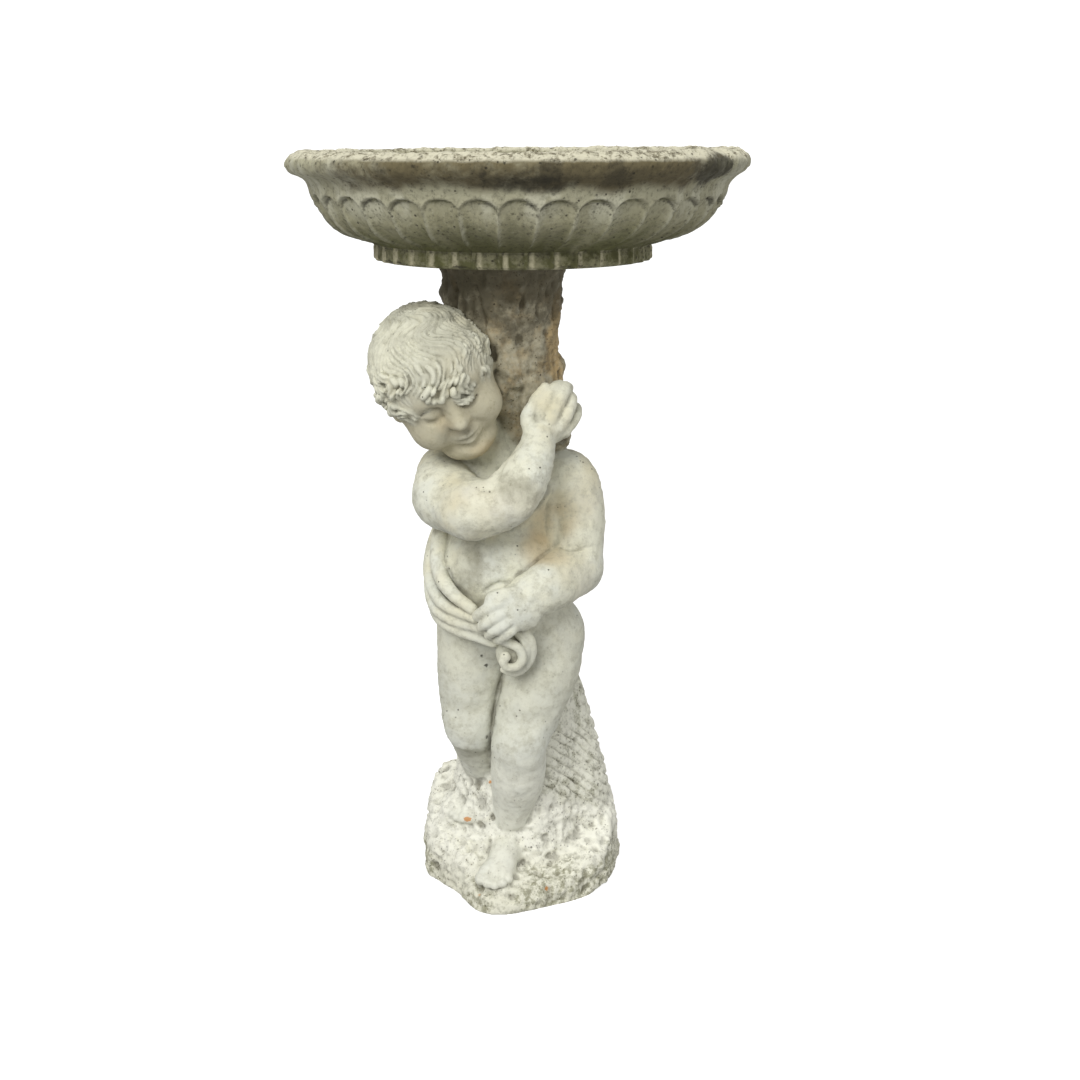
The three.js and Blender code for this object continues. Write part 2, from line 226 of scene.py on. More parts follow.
def skinOf(clay):
    # one quad for each grid edge that crosses the surface, corners at the mean crossing of each cell
    f = clay.field
    inside = f < 0
    total = np.zeros([n - 1 for n in f.shape], np.uint8)
    corners = [(i, j, k) for i in (0, 1) for j in (0, 1) for k in (0, 1)]
    nx, ny, nz = total.shape
    for i, j, k in corners:
        total += inside[i:i + nx, j:j + ny, k:k + nz]
    cells = np.argwhere((total > 0) & (total < 8))
    number = np.full(total.shape, -1, np.int32)
    number[tuple(cells.T)] = np.arange(len(cells), dtype=np.int32)
    lines = [axis[a:b] for axis, a, b in zip(clay.axes, clay.first, clay.last)]
    places, counts = np.zeros((len(cells), 3)), np.zeros(len(cells))
    for corner in corners:
        for axis in range(3):
            if corner[axis]:
                continue
            a = cells + corner
            b = a.copy()
            b[:, axis] += 1
            fa, fb = f[tuple(a.T)], f[tuple(b.T)]
            crosses = (fa < 0) != (fb < 0)
            t = np.where(crosses, fa / np.where(crosses, fa - fb, 1), 0)
            spot = np.stack([lines[i][a[:, i]] for i in range(3)], 1)
            spot[:, axis] += t * (lines[axis][b[:, axis]] - lines[axis][a[:, axis]])
            places += spot * crosses[:, None]
            counts += crosses
    places /= counts[:, None]
    quads = []
    for axis in range(3):
        u, v = (axis + 1) % 3, (axis + 2) % 3
        step = [0, 0, 0]
        step[axis] = 1
        here = inside[tuple(slice(0, n - s) for n, s in zip(inside.shape, step))]
        there = inside[tuple(slice(s, n) for n, s in zip(inside.shape, step))]
        edges = np.argwhere(here != there)
        edges = edges[(edges[:, u] > 0) & (edges[:, v] > 0)
                      & (edges[:, u] < inside.shape[u] - 1) & (edges[:, v] < inside.shape[v] - 1)]
        around = []
        for du, dv in ((1, 1), (0, 1), (0, 0), (1, 0)):
            cell = edges.copy()
            cell[:, u] -= du
            cell[:, v] -= dv
            around.append(number[tuple(cell.T)])
        quad = np.stack(around, 1)
        flip = ~here[tuple(edges.T)]
        quad[flip] = quad[flip][:, ::-1]
        quads.append(quad)
    return places, np.vstack(quads)


def normalsOf(places, faces):
    a, b, c, d = (places[faces[:, i]] for i in range(4))
    across = np.cross(c - a, d - b)
    total = np.zeros_like(places)
    for i in range(4):
        for k in range(3):
            total[:, k] += np.bincount(faces[:, i], across[:, k], len(places))
    return total / (np.linalg.norm(total, axis=1, keepdims=True) + 1e-12)


# ---------- the pedestal: a child leaning on a tree stump, all one casting, in millimetres ----------
cherub = {
    "slab": 18, "rockFront": -69, "rockSlope": 0.4, "rockRise": 66,
    "rockLump": (-64, 78, 13, 32),  # x, y, height and spread of the hump behind the right foot
    "outline": ((-30, -74), (-69, -31), (-98, 10), (-105, 56), (-94, 106), (-48, 138),
                (14, 144), (74, 122), (103, 78), (105, 34), (82, -22), (40, -56)),
    "trunk": ((-4, 52, -20, 84), (-4, 52, 40, 77), (0, 52, 130, 64), (-4, 48, 260, 57), (-8, 42, 400, 56),
              (-9, 30, 500, 56), (-14, 16, 560, 52), (-16, 10, 620, 57), (-16, 10, 700, 60)),
    "root": ((34, 56, 236, 18), (46, 58, 165, 29), (56, 56, 96, 37), (58, 56, 60, 38)),
    "rightUpperArm": ((-71, -18, 447, 29), (-69, -48, 436, 31), (-44, -82, 428, 27)),
    "rightForearm": ((-38, -87, 429, 26), (-14, -88, 438, 26.5), (3, -82, 456, 24), (14, -73, 477, 18.5), (19, -65, 492, 15.5)),
    "leftUpperArm": ((48, -4, 434, 31), (57, -6, 405, 27.5), (57, -12, 378, 26), (53, -17, 356, 25.5)),
    "leftForearm": ((52, -19, 353, 26.5), (38, -40, 349, 28), (24, -56, 345, 26.5), (8, -67, 338, 22), (-4, -73, 331, 18)),
    "rightLeg": ((-46, -2, 276, 38), (-50, -8, 240, 34.5), (-52, -14, 205, 29), (-51, -14, 184, 26),
                 (-46, -4, 162, 24.5), (-40, 14, 134, 22.5), (-33, 34, 106, 16), (-30, 42, 88, 14)),
    "leftLeg": ((28, -4, 276, 38), (22, -12, 245, 38), (10, -24, 210, 34), (-1, -34, 176, 28),
                (-2, -32, 158, 27), (-3, -24, 130, 26.5), (-7, -14, 100, 21.5), (-11, -6, 66, 17)),
    "touching": (((34, -36, 442), (30, -36, 422), (29, -36, 400), (34, -38, 384)),
                 ((34, -38, 380), (18, -56, 373), (6, -64, 365), (-5, -66, 354)),
                 ((37, -38, 380), (49, -42, 378), (61, -40, 378), (72, -32, 379)),
                 ((-5, -66, 353), (-18, -68, 351), (-30, -68, 346), (-40, -68, 336)),
                 ((-36, -78, 312), (-29, -78, 303), (-17, -76, 297), (-2, -68, 295), (9, -66, 300))),
    # lines under the right arm, where dirt and painted shade are laid
    "underArm": (((-83, -22, 394), (-60, -58, 399), (-34, -62, 400), (-12, -52, 402), (8, -46, 412), (24, -46, 432), (33, -38, 449)),),
    "headCentre": (-78, -48, 548), "headRoll": 26, "headPitch": 24, "headYaw": 6,
    "top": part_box("cherub_pedestal")[1].z / millimetre, "triangles": 196000,
}


def gridLines(*spans):
    # grid lines from start to stop at each span's step
    return np.concatenate([np.arange(a, b, step) for a, b, step in spans]).astype(np.float64)


axes = (gridLines((-150, -141, 1.5), (-141, -26, 1.15), (-26, 114, 1.4)),
        gridLines((-122, -20, 1.15), (-20, 152, 1.6)),
        gridLines((-3, 250, 1.55), (250, 465, 1.35), (465, 640, 1.1), (640, 660, 1.3)))


def groundAt(x, y):
    lumpX, lumpY, lumpHeight, spread = cherub["rockLump"]
    ramp = np.clip((y - cherub["rockFront"]) * cherub["rockSlope"], 0, cherub["rockRise"])
    return cherub["slab"] + ramp + lumpHeight * np.exp(-((x - lumpX) / spread) ** 2 - ((y - lumpY) / spread) ** 2)


def rockBase():
    clay = Clay(axes, (-150, -122, -3), (114, 152, 130))
    outline = smoothRoute([(*p, 0) for p in cherub["outline"] * 2], 5)[:, :2]
    x, y = np.meshgrid(axes[0], axes[1], indexing="ij")
    nearest, inside = np.full(x.shape, 1e9), np.zeros(x.shape, bool)
    count = len(outline) // 2 + 1
    start = 20
    for (ax, ay), (bx, by) in zip(outline[start:start + count], outline[start + 1:start + 1 + count]):
        lx, ly = bx - ax, by - ay
        t = np.clip(((x - ax) * lx + (y - ay) * ly) / (lx * lx + ly * ly + 1e-9), 0, 1)
        nearest = np.minimum(nearest, np.hypot(x - ax - t * lx, y - ay - t * ly))
    ring = outline[start:start + count]
    for (ax, ay), (bx, by) in zip(ring, np.roll(ring, -1, 0)):
        crossing = ((ay > y) != (by > y)) & (x < (bx - ax) * (y - ay) / (by - ay + 1e-12) + ax)
        inside ^= crossing
    wall = np.where(inside, -nearest, nearest)
    wobble = 3.0 * layers(np.stack([x.ravel(), y.ravel(), 0 * x.ravel()], 1), 34, 2).reshape(x.shape)
    height = groundAt(x, y) + 1.5 * wobble
    z = clay.axes[2][clay.first[2]:clay.last[2]][None, None, :]
    side = (wall + 0.8 * wobble)[:clay.field.shape[0], :clay.field.shape[1], None] + 0.06 * z
    rise = 0.92 * (z - height[:clay.field.shape[0], :clay.field.shape[1], None])
    clay.field[...] = -melt(-side, -rise, 13.0)
    clay.lump((-52, 34, 66), (34, 30, 22), 14)  # the rise that carries the right foot
    clay.lump((-22, -36, 10), (26, 26, 14), 12)
    return clay


def treeStump():
    clay = Clay(axes, (-95, -60, -3), (90, 140, 660))
    clay.rope(cherub["trunk"], 2)
    random = np.random.default_rng(5)
    for i in range(34):  # knots and swellings of the bark
        z = random.uniform(470, 632) if i % 2 else random.uniform(90, 470)
        turn = random.uniform(0, 2 * math.pi)
        route = np.array(cherub["trunk"])
        cx, cy, r = (np.interp(z, route[:, 2], route[:, k]) for k in (0, 1, 3))
        size = random.uniform(8, 15)
        sunk = r - size * 0.78
        clay.lump((cx + sunk * math.cos(turn), cy + sunk * math.sin(turn), z), (size, size, size * random.uniform(1.0, 1.7)), 5)
    for i in range(40):  # long furrows between the strips of bark
        turn = 2 * math.pi * (i + random.uniform(-0.3, 0.3)) / 40
        low = random.uniform(250, 520)
        line = []
        for z in np.linspace(low, min(low + random.uniform(90, 260), 632), 5):
            cx, cy, r = (np.interp(z, route[:, 2], route[:, k]) for k in (0, 1, 3))
            at = turn + random.uniform(-0.1, 0.1)
            line.append((cx + (r + 1) * math.cos(at), cy + (r + 1) * math.sin(at), z, random.uniform(0.8, 2.2)))
        clay.rope(line, 2.5, 3, carve=True)
    clay.lump((34, 0, 486), (16, 18, 22), 6)  # the stump's swelling below the hand
    clay.lump((-16, 10, cherub["top"] - 8), (60, 60, 12), 5)  # the collar under the bowl
    return clay


def rootFoot():
    clay = Clay(axes, (-6, -10, -3), (112, 120, 262))
    clay.rope(cherub["root"], 4)
    return clay


def leg(line, side):
    clay = Clay(axes, (-100, -95, 0), (80, 100, 330))
    clay.rope(line, 6)
    return clay


def footOf(clay, heel, instep, ball, toes, toeRoot, width):
    # heel, instep and ball run together; each toe is its own little rope
    clay.rope((heel, instep, ball), 7)
    clay.lump(ball[:3], (width, ball[3] + 2, ball[3] - 2), 6)
    for i, (x, y, z, r) in enumerate(toes):
        t = i / (len(toes) - 1)
        root = [a + (b - a) * t for a, b in zip(*toeRoot)]
        clay.rope((root + [r], ((root[0] + x) / 2, (root[1] + y) / 2, (root[2] + z) / 2 + 2.5, r * 0.95), (x, y, z, r * 0.9)), 0.8)
        clay.lump((x, y - 1, z), (r * 1.05, r * 1.1, r), 1.0)


def rightLeg():
    clay = leg(cherub["rightLeg"], -1)
    clay.lump((-53, -30, 187), (20, 10, 20), 16)  # knee
    clay.lump((-40, 22, 138), (18, 16, 28), 16)  # calf
    pressCrease(clay, ((-74, -22, 212), (-56, -42, 208), (-36, -38, 212)), 8, 0.5, 9)
    footOf(clay, (-26, 50, 80, 14), (-38, 36, 84, 14), (-54, 25, 76, 13),
           ((-72, 20, 71, 4.6), (-72, 13, 70, 4.8), (-68, 7, 69, 5), (-62, 3, 69, 5.2), (-53, 2, 70, 6.6)),
           ((-64, 30, 75), (-48, 16, 76)), 16)
    pressCrease(clay, ((-46, 28, 99), (-38, 24, 97), (-26, 28, 97)), 3, 1.4, 4)
    return clay


def leftLeg():
    clay = leg(cherub["leftLeg"], 1)
    clay.lump((-1, -50, 177), (21, 12, 20), 16)
    clay.lump((7, -14, 143), (14, 18, 32), 16)
    clay.lump((-10, -16, 141), (13, 17, 30), 16)
    pressCrease(clay, ((-24, -48, 205), (0, -60, 201), (28, -48, 207)), 8, 0.5, 9)
    footOf(clay, (-9, 0, 44, 16), (-15, -20, 44, 16), (-23, -42, 32, 13),
           ((-41, -55, 30, 6.8), (-34, -62, 28.5, 5.2), (-27, -63.5, 28, 5), (-19.5, -61, 28.5, 4.8), (-13, -55, 29.5, 4.5)),
           ((-34, -40, 33), (-12, -38, 34)), 17)
    pressCrease(clay, ((-30, -14, 70), (-17, -28, 64), (2, -20, 67)), 3, 2.0, 3)
    return clay


def torso():
    clay = Clay(axes, (-120, -95, 215), (110, 75, 520))
    clay.lump((-20, -2, 424), (54, 43, 54), 16)
    clay.lump((-18, -14, 356), (62, 53, 54), 22)
    clay.lump((-10, -4, 292), (69, 47, 44), 20)
    clay.lump((-46, -34, 436), (25, 14, 19), 12)  # chest
    clay.lump((4, -36, 434), (25, 14, 19), 12)
    clay.lump((-65, -14, 447), (30, 28, 29), 16)  # shoulders
    clay.lump((42, -2, 438), (33, 30, 31), 16)
    clay.lump((34, -2, 398), (20, 24, 40), 14)  # the side of the chest, against the arm
    clay.rope(((-26, -8, 462, 30), (-46, -22, 488, 28), (-62, -34, 506, 27)), 12)
    pressCrease(clay, ((-60, -40, 402), (-30, -52, 396), (0, -54, 397), (26, -44, 403)), 7, 1.0, 8)  # under the chest
    pressCrease(clay, ((48, -26, 312), (26, -42, 296), (4, -48, 280)), 6, 2.0, 7)  # groin
    pressCrease(clay, ((-74, -26, 306), (-50, -42, 290), (-22, -48, 278)), 6, 2.0, 7)
    return clay


def rightArm():
    clay = Clay(axes, (-118, -122, 385), (60, 40, 540))
    clay.rope(cherub["rightUpperArm"], 6)
    clay.rope(cherub["rightForearm"], 7)
    clay.lump((-50, -84, 428), (26, 24, 24), 12)  # elbow
    clay.lump((-69, -54, 430), (30, 28, 27), 12)
    pressCrease(clay, ((-18, -84, 472), (-24, -102, 464), (-27, -110, 450), (-28, -110, 442)), 3, 2.2, 4)
    pressCrease(clay, ((0, -84, 488), (12, -88, 481), (26, -80, 474), (34, -66, 472)), 2.6, 1.5, 3)  # wrist
    return clay


def leftArm():
    clay = Clay(axes, (-30, -110, 295), (112, 50, 480))
    clay.rope(cherub["leftUpperArm"], 6)
    clay.rope(cherub["leftForearm"], 7)
    clay.lump((54, -14, 350), (26, 25, 26), 12)
    return clay


def rightHand():
    # grips the stump beside the head: back of the hand outward, fingers curling over
    clay = Clay(axes, (-15, -95, 468), (75, 20, 566))
    clay.lump((27, -46, 504), (23, 20, 21), 5)
    clay.lump((22, -58, 498), (16, 12, 16), 6)
    fingers = (((18, -60, 512, 7.2), (24, -62, 526, 7.0), (33, -54, 537, 6.6), (38, -42, 538, 6)),
               ((28, -62, 506, 7.4), (35, -63, 522, 7.2), (42, -52, 535, 6.6), (45, -38, 535, 6)),
               ((37, -59, 502, 7.2), (45, -58, 516, 7.0), (49, -46, 526, 6.2), (49, -32, 524, 5.6)),
               ((42, -52, 496, 6.6), (51, -47, 508, 6.2), (54, -34, 514, 5.6), (52, -22, 512, 5)))
    for line in fingers:
        clay.rope(line, 1.4)
    clay.rope(((12, -66, 498, 7.5), (8, -64, 512, 7.0), (15, -62, 527, 6.2), (24, -58, 539, 5.6)), 1.6)  # thumb
    pressCrease(clay, ((14, -72, 490), (26, -74, 487), (40, -66, 486)), 2.4, 1.6, 2)
    return clay


def leftHand():
    # lies on the belly and holds the drapery
    clay = Clay(axes, (-62, -110, 280), (30, -40, 365))
    clay.lump((-2, -77, 326), (24, 15, 21), 5)
    clay.lump((-8, -80, 332), (19, 12, 17), 8)
    fingers = (((-10, -82, 340, 7.5), (-22, -89, 337, 6.6), (-33, -88, 331, 5.8), (-41, -82, 323, 5.0)),
               ((-9, -84, 331, 7.5), (-20, -91, 327, 6.6), (-30, -89, 320, 5.8), (-37, -83, 312, 5.0)),
               ((-7, -84, 322, 7.2), (-16, -91, 317, 6.2), (-25, -88, 310, 5.5), (-31, -82, 304, 4.8)),
               ((-4, -82, 314, 6.6), (-10, -88, 309, 5.6), (-17, -85, 303, 5.0), (-22, -79, 298, 4.4)))
    for line in fingers:
        clay.rope(line, 2.0)
    clay.rope(((6, -76, 340, 8), (-6, -83, 345, 7.2), (-18, -87, 346, 6.2), (-28, -86, 342, 5.2)), 4)
    return clay


def tucked(line):
    # the sash's curled end, drawn in a little under the hand
    return [(-4 + (x - 2) * 0.88, y, 278 + (z - 274) * 0.88, r * 0.92) for x, y, z, r in line]


def drapery():
    # a twisted sash from the stump round the right hip to the left hand, with its end curling below
    clay = Clay(axes, (-110, -100, 238), (40, 62, 440))
    bands = (((-66, 36, 436, 7), (-74, 6, 406, 8.5), (-79, -22, 380, 8.6), (-79, -40, 358, 8), (-67, -58, 340, 7), (-46, -70, 326, 5.6)),
             ((-78, 30, 394, 6), (-88, -6, 366, 6.6), (-88, -27, 342, 6.6), (-75, -50, 325, 6), (-44, -69, 316, 5)),
             ((-80, 30, 366, 5.6), (-90, -4, 342, 6), (-85, -33, 318, 6), (-65, -54, 309, 5.6), (-38, -67, 305, 5), (-22, -71, 298, 4.4)),
             ((-78, 28, 340, 5), (-86, -6, 320, 5.4), (-82, -31, 306, 5.4), (-64, -52, 299, 5), (-40, -64, 294, 4.6), (-26, -68, 290, 4)))
    for band in bands:
        clay.rope(band, 1.5)
    clay.rope(((-70, 20, 400, 9), (-80, -10, 360, 9), (-80, -24, 330, 9), (-64, -44, 316, 8), (-38, -58, 308, 7)), 3)
    for low, high in zip(bands[:-1], bands[1:]):  # a thin cord fold between each pair of bands
        clay.rope([tuple((a + b) / 2 for a, b in zip(p, q))[:3] + (3.4,) for p, q in zip(low[1:5], high[1:5])], 1.2)
    clay.lump((-7, -61, 279), (17, 12, 21), 3)
    clay.rope(tucked(((-26, -71, 298, 4.5), (-10, -76, 293, 5), (4, -76, 286, 5), (9, -75, 274, 5), (3, -75, 264, 4.8), (-8, -77, 264, 4.6), (-13, -79, 271, 4.4))), 1.2)
    clay.lump((-14.5, -78, 280), (5.5, 5, 5.5), 1.2)
    clay.rope(tucked(((8, -68, 305, 5), (18, -67, 291, 5), (20, -65, 275, 4.8), (13, -64, 259, 4.4), (0, -64, 251, 4), (-13, -66, 256, 3.2))), 1.2)
    clay.rope(tucked(((2, -68, 300, 4), (12, -70, 288, 4.2), (14, -69, 274, 4), (8, -68, 264, 3.6))), 1.0)
    return clay


headTurn = np.array(Euler((0, math.radians(-cherub["headRoll"]), 0)).to_matrix()
                    @ Euler((math.radians(cherub["headPitch"]), 0, 0)).to_matrix()
                    @ Euler((0, 0, math.radians(cherub["headYaw"]))).to_matrix())
headCentre = np.array(cherub["headCentre"], float)


def onHead(line):
    # head's own x (its left), y (back) and z (crown), in millimetres, placed in the figure
    return [tuple(headTurn @ np.array(p[:3], float) + headCentre) + tuple(p[3:]) for p in line]


def bothSides(line):
    return onHead(line), onHead([(-p[0],) + tuple(p[1:]) for p in line])


def childFace():
    clay = Clay(axes, headCentre - 92, headCentre + 92)

    def lump(centre, radii, blend, carve=False, turn=None):
        matrix = headTurn if turn is None else headTurn @ np.array(Euler(turn).to_matrix())
        clay.lump(onHead([centre])[0], radii, blend, matrix, carve)

    def pair(centre, radii, blend, carve=False, lean=0.0):
        lump(centre, radii, blend, carve, (0, lean, 0))
        lump((-centre[0],) + centre[1:], radii, blend, carve, (0, -lean, 0))

    def rope(line, blend, carve=False):
        clay.rope(onHead(line), blend, 4, carve)

    def twin(line, blend, carve=False):
        for side in bothSides(line):
            clay.rope(side, blend, 4, carve)

    lump((0, 6, 8), (53, 60, 50), 10)  # skull
    lump((0, -15, -20), (43, 41, 48), 22)  # lower face
    lump((0, -22, 18), (43, 35, 32), 14)  # forehead
    pair((25, -35, -27), (20, 19, 19), 12)  # cheeks
    lump((0, -47, -56), (12, 10, 9), 9)  # chin
    lump((0, -30, -60), (27, 22, 14), 12)
    rope(((0, -50, 6, 6), (0, -55, -4, 5.4), (0, -60, -15, 5.6)), 9)  # nose
    lump((0, -62.5, -19), (6.6, 6.6, 5.8), 4)
    pair((6.2, -58, -20.5), (4, 5, 4), 2.5)
    pair((3.4, -61.5, -24.6), (1.7, 2.6, 1.5), 1.4, carve=True)
    twin(((7, -52, 10, 4), (17, -52, 12.5, 4.4), (29, -44, 8, 4)), 9)  # brows
    pair((18.5, -57.5, -2), (10.5, 7.5, 7), 8, carve=True)  # eye hollows
    pair((18.5, -47, -2.5), (10, 8.4, 7.8), 2.5)  # closed lids over the eyes
    twin(((9.5, -54.5, -4.2, 0.9), (14, -56.4, -6.2, 1.1), (20, -56.2, -6.6, 1.1), (27, -51.5, -4.0, 0.9)), 1.3, carve=True)
    twin(((9.5, -54, 1.5, 0.9), (14, -55, 4.4, 1.0), (21, -54.4, 4.8, 1.0), (28, -49.4, 1.2, 0.8)), 1.8, carve=True)
    twin(((10, -54.5, -8, 1.2), (17, -55.4, -10.6, 1.5), (25, -51.6, -9.0, 1.1)), 3, carve=True)
    rope(((0, -59, -27.5, 1.4), (0, -58.2, -32.5, 1.6)), 2.4, carve=True)
    lump((0, -49, -38), (15, 9, 10), 6)
    rope(((-11.5, -53, -38.6, 1.5), (-4.6, -58, -35.6, 2.5), (0, -58.2, -36.6, 2.3), (4.6, -58, -35.6, 2.5), (11.5, -53, -38.6, 1.5)), 1.6)
    rope(((-9, -54, -41.8, 1.8), (0, -57.4, -43.8, 3.3), (9, -54, -41.8, 1.8)), 1.6)
    rope(((-12.5, -54.6, -38.9, 0.8), (-5, -60.4, -39.3, 1.0), (0, -61, -40, 1.0), (5, -60.4, -39.3, 1.0), (12.5, -54.6, -38.9, 0.8)), 0.9, carve=True)
    pressCrease(clay, [p[:3] for p in onHead(((-8, -54, -49), (0, -57, -50), (8, -54, -49)))], 4, 1.4, 4)
    for side in bothSides(((8, -56, -25, 1), (14, -52, -31, 1), (17, -48, -37, 1))):
        pressCrease(clay, [p[:3] for p in side], 4, 0.8, 5)
    pair((49, 2, -16), (5.5, 8, 10), 4)  # the lobes show below the hair
    return clay


hairMiddle = (0, 5, 15)
whorl = np.array([0.06, 0.38, 0.92]) / np.linalg.norm([0.06, 0.38, 0.92])
side = np.cross(whorl, (0, 1, 0)) / np.linalg.norm(np.cross(whorl, (0, 1, 0)))
ahead = np.cross(side, whorl)


def hairStrands(points):
    # wavy strands that run out from the whorl, in clumps; millimetres of relief at each point
    local = (points - headCentre) @ headTurn - hairMiddle
    out = local / (np.linalg.norm(local, axis=1, keepdims=True) + 1e-6)
    polar = np.arccos(np.clip(out @ whorl, -1, 1))
    turn = np.arctan2(out @ side, out @ ahead)
    sway = 0.15 * np.sin(polar * 7.5 + 2.4 * cloud(local, 34, 80)) + 0.12 * cloud(local, 24, 81)
    across = turn + sway / np.maximum(np.sin(polar), 0.3)
    relief = 0
    for count, low, high, width in ((32, -0.2, -0.1, 0.9), (64, 0.75, 1.05, 1)):
        run = across * count / (2 * math.pi) + 0.4 * cloud(local, 11, 82 + count)
        strand = 1 - np.abs(run % 1 - 0.5) * 2
        part = smooth(polar, low, high)
        relief = relief * (1 - part) + part * width * np.sqrt(np.clip(strand, 0, 1))
    clump = np.cos(across * 11 + 2.2 * cloud(local, 30, 85))
    return 3.4 * relief - 1.7 + 1.5 * clump + 0.8 * cloud(local, 14, 86)


def curlyHair():
    # a cap of hair with loose locks along the hairline and curls at the sides; its strands come with the wear
    clay = Clay(axes, headCentre - 100, headCentre + 100)
    clay.lump(onHead([hairMiddle])[0], (53.5, 65, 51), 4, headTurn)
    face = Clay(axes, headCentre - 100, headCentre + 100)
    face.lump(onHead([(11, -70, -44)])[0], (45, 50, 72), 4, headTurn)
    clay.join(face, 5, carve=True)  # leaves the face and its hairline free
    random = np.random.default_rng(23)
    def lock(turn, first, last, amount, sway, thick, lift, strands):
        # first and last are angles down from the whorl; sway is how far the lock waves sideways
        phase = random.uniform(0, 2 * math.pi)
        bend = random.uniform(0.7, 1.3)
        for strand in range(strands):
            offset = (strand - (strands - 1) / 2) * thick * 1.25
            line = []
            for t in np.linspace(0, 1, amount):
                polar = first + (last - first) * t
                wave = sway * math.sin(phase + bend * 2 * math.pi * t * 1.5) * (0.25 + 0.75 * t)
                spread = turn + (wave + offset * (0.6 + 0.5 * t)) / (58 * max(math.sin(min(polar, 1.9)), 0.35))
                out = math.cos(polar) * whorl + math.sin(polar) * (math.cos(spread) * ahead + math.sin(spread) * side)
                reach = 1 / math.sqrt((out[0] / 53) ** 2 + (out[1] / 64.5) ** 2 + (out[2] / 50.5) ** 2)
                height = lift * math.sin(math.pi * min(t * 1.1, 1)) - 1.2 * t * t
                line.append(tuple(np.array(hairMiddle) + out * (reach + height)) + (thick * (0.55 + 0.6 * math.sin(math.pi * (0.12 + 0.8 * t))),))
            clay.rope(onHead(line), 0.5, 3)

    def reachOf(turn):
        # how far down the hair comes: short over the brow, longer at the sides and the nape
        return math.radians(102 + 19 * abs(math.sin(turn / 2)) ** 1.1)

    for i in range(46):  # locks that end along the hairline
        turn = 2 * math.pi * (i + random.uniform(-0.3, 0.3)) / 46
        end = reachOf(turn) * random.uniform(0.95, 1.03)
        lock(turn, end - random.uniform(0.5, 0.85), end, 8, random.uniform(1.0, 2.6), 2.0, random.uniform(0.2, 0.9), 1 + i % 2)
    for i in range(20):  # curled ends along the sides and the nape
        turn = math.radians(random.uniform(84, 175)) * (1 if i % 2 else -1)
        polar = reachOf(turn) * random.uniform(0.74, 1.02)
        out = math.cos(polar) * whorl + math.sin(polar) * (math.cos(turn) * ahead + math.sin(turn) * side)
        reach = 1 / math.sqrt((out[0] / 53) ** 2 + (out[1] / 64.5) ** 2 + (out[2] / 50.5) ** 2)
        centre = np.array(hairMiddle) + out * (reach + 0.5)
        across = np.cross(out, whorl)
        across /= np.linalg.norm(across)
        along = np.cross(across, out)
        spin = random.uniform(0, 2 * math.pi)
        way = 1 if i % 3 else -1
        line = [tuple(centre + (11 - 8.5 * t) * (math.cos(spin + way * 5.6 * t) * across + math.sin(spin + way * 5.6 * t) * along)
                      + out * 2.5 * t) + (3.2 - 0.6 * t,) for t in np.linspace(0, 1, 10)]
        clay.rope(onHead(line), 1.2, 3)
    return clay


def modelPedestal():
    parts = {"rock": rockBase(), "stump": treeStump(), "root": rootFoot(), "rightLeg": rightLeg(), "leftLeg": leftLeg(),
             "torso": torso(), "rightArm": rightArm(), "leftArm": leftArm(), "rightHand": rightHand(),
             "leftHand": leftHand(), "cloth": drapery(), "face": childFace(), "hair": curlyHair()}
    print("clay groups shaped")
    whole = Clay(axes)
    whole.join(parts["rock"], 1)
    whole.join(parts["stump"], 5)
    whole.join(parts["root"], 5)
    legs = Clay(axes, (-100, -95, 0), (80, 100, 330))
    legs.join(parts["rightLeg"], 1)
    legs.join(parts["leftLeg"], 2.5)
    body = Clay(axes, (-130, -122, 0), (114, 110, 560))
    body.join(legs, 1)
    body.join(parts["torso"], 10)
    body.join(parts["rightArm"], 2.5)
    body.join(parts["leftArm"], 2.0)
    body.join(parts["rightHand"], 3)
    body.join(parts["leftHand"], 3)
    touching = [pressCrease(body, line, 2.4, 2.2, 1.6) for line in cherub["touching"]]
    whole.join(body, 3)
    head = Clay(axes, headCentre - 100, headCentre + 100)
    head.join(parts["face"], 1)
    head.join(parts["hair"], 1.2)
    whole.join(head, 3)
    whole.join(parts["cloth"], 1.5)
    z = axes[2][None, None, :].astype(np.float32)
    whole.field = np.maximum(np.maximum(whole.field, -z), z - cherub["top"])
    groups = {"rock": parts["rock"], "stump": parts["stump"], "root": parts["root"], "skin": body, "face": parts["face"],
              "hair": parts["hair"], "cloth": parts["cloth"]}
    return whole, groups, touching


whole, groups, touching = modelPedestal()
places, quads = skinOf(whole)
print("pedestal skin", len(places), "points", len(quads), "quads")
normals = normalsOf(places, quads)


def sharesOf(points):
    # which group each point belongs to, softly, adding up to one
    near = {name: np.exp(-np.clip(clay.sample(points), -1, 30) / 1.1) for name, clay in groups.items()}
    total = sum(near.values()) + 1e-9
    share = {name: value / total for name, value in near.items()}
    bank = smooth(points[:, 2] + 0.58 * points[:, 0], 121, 113)
    for name in ("root", "stump"):  # the rock climbs up over their foot
        share["rock"] = share["rock"] + bank * share[name]
        share[name] = share[name] * (1 - bank)
    return share


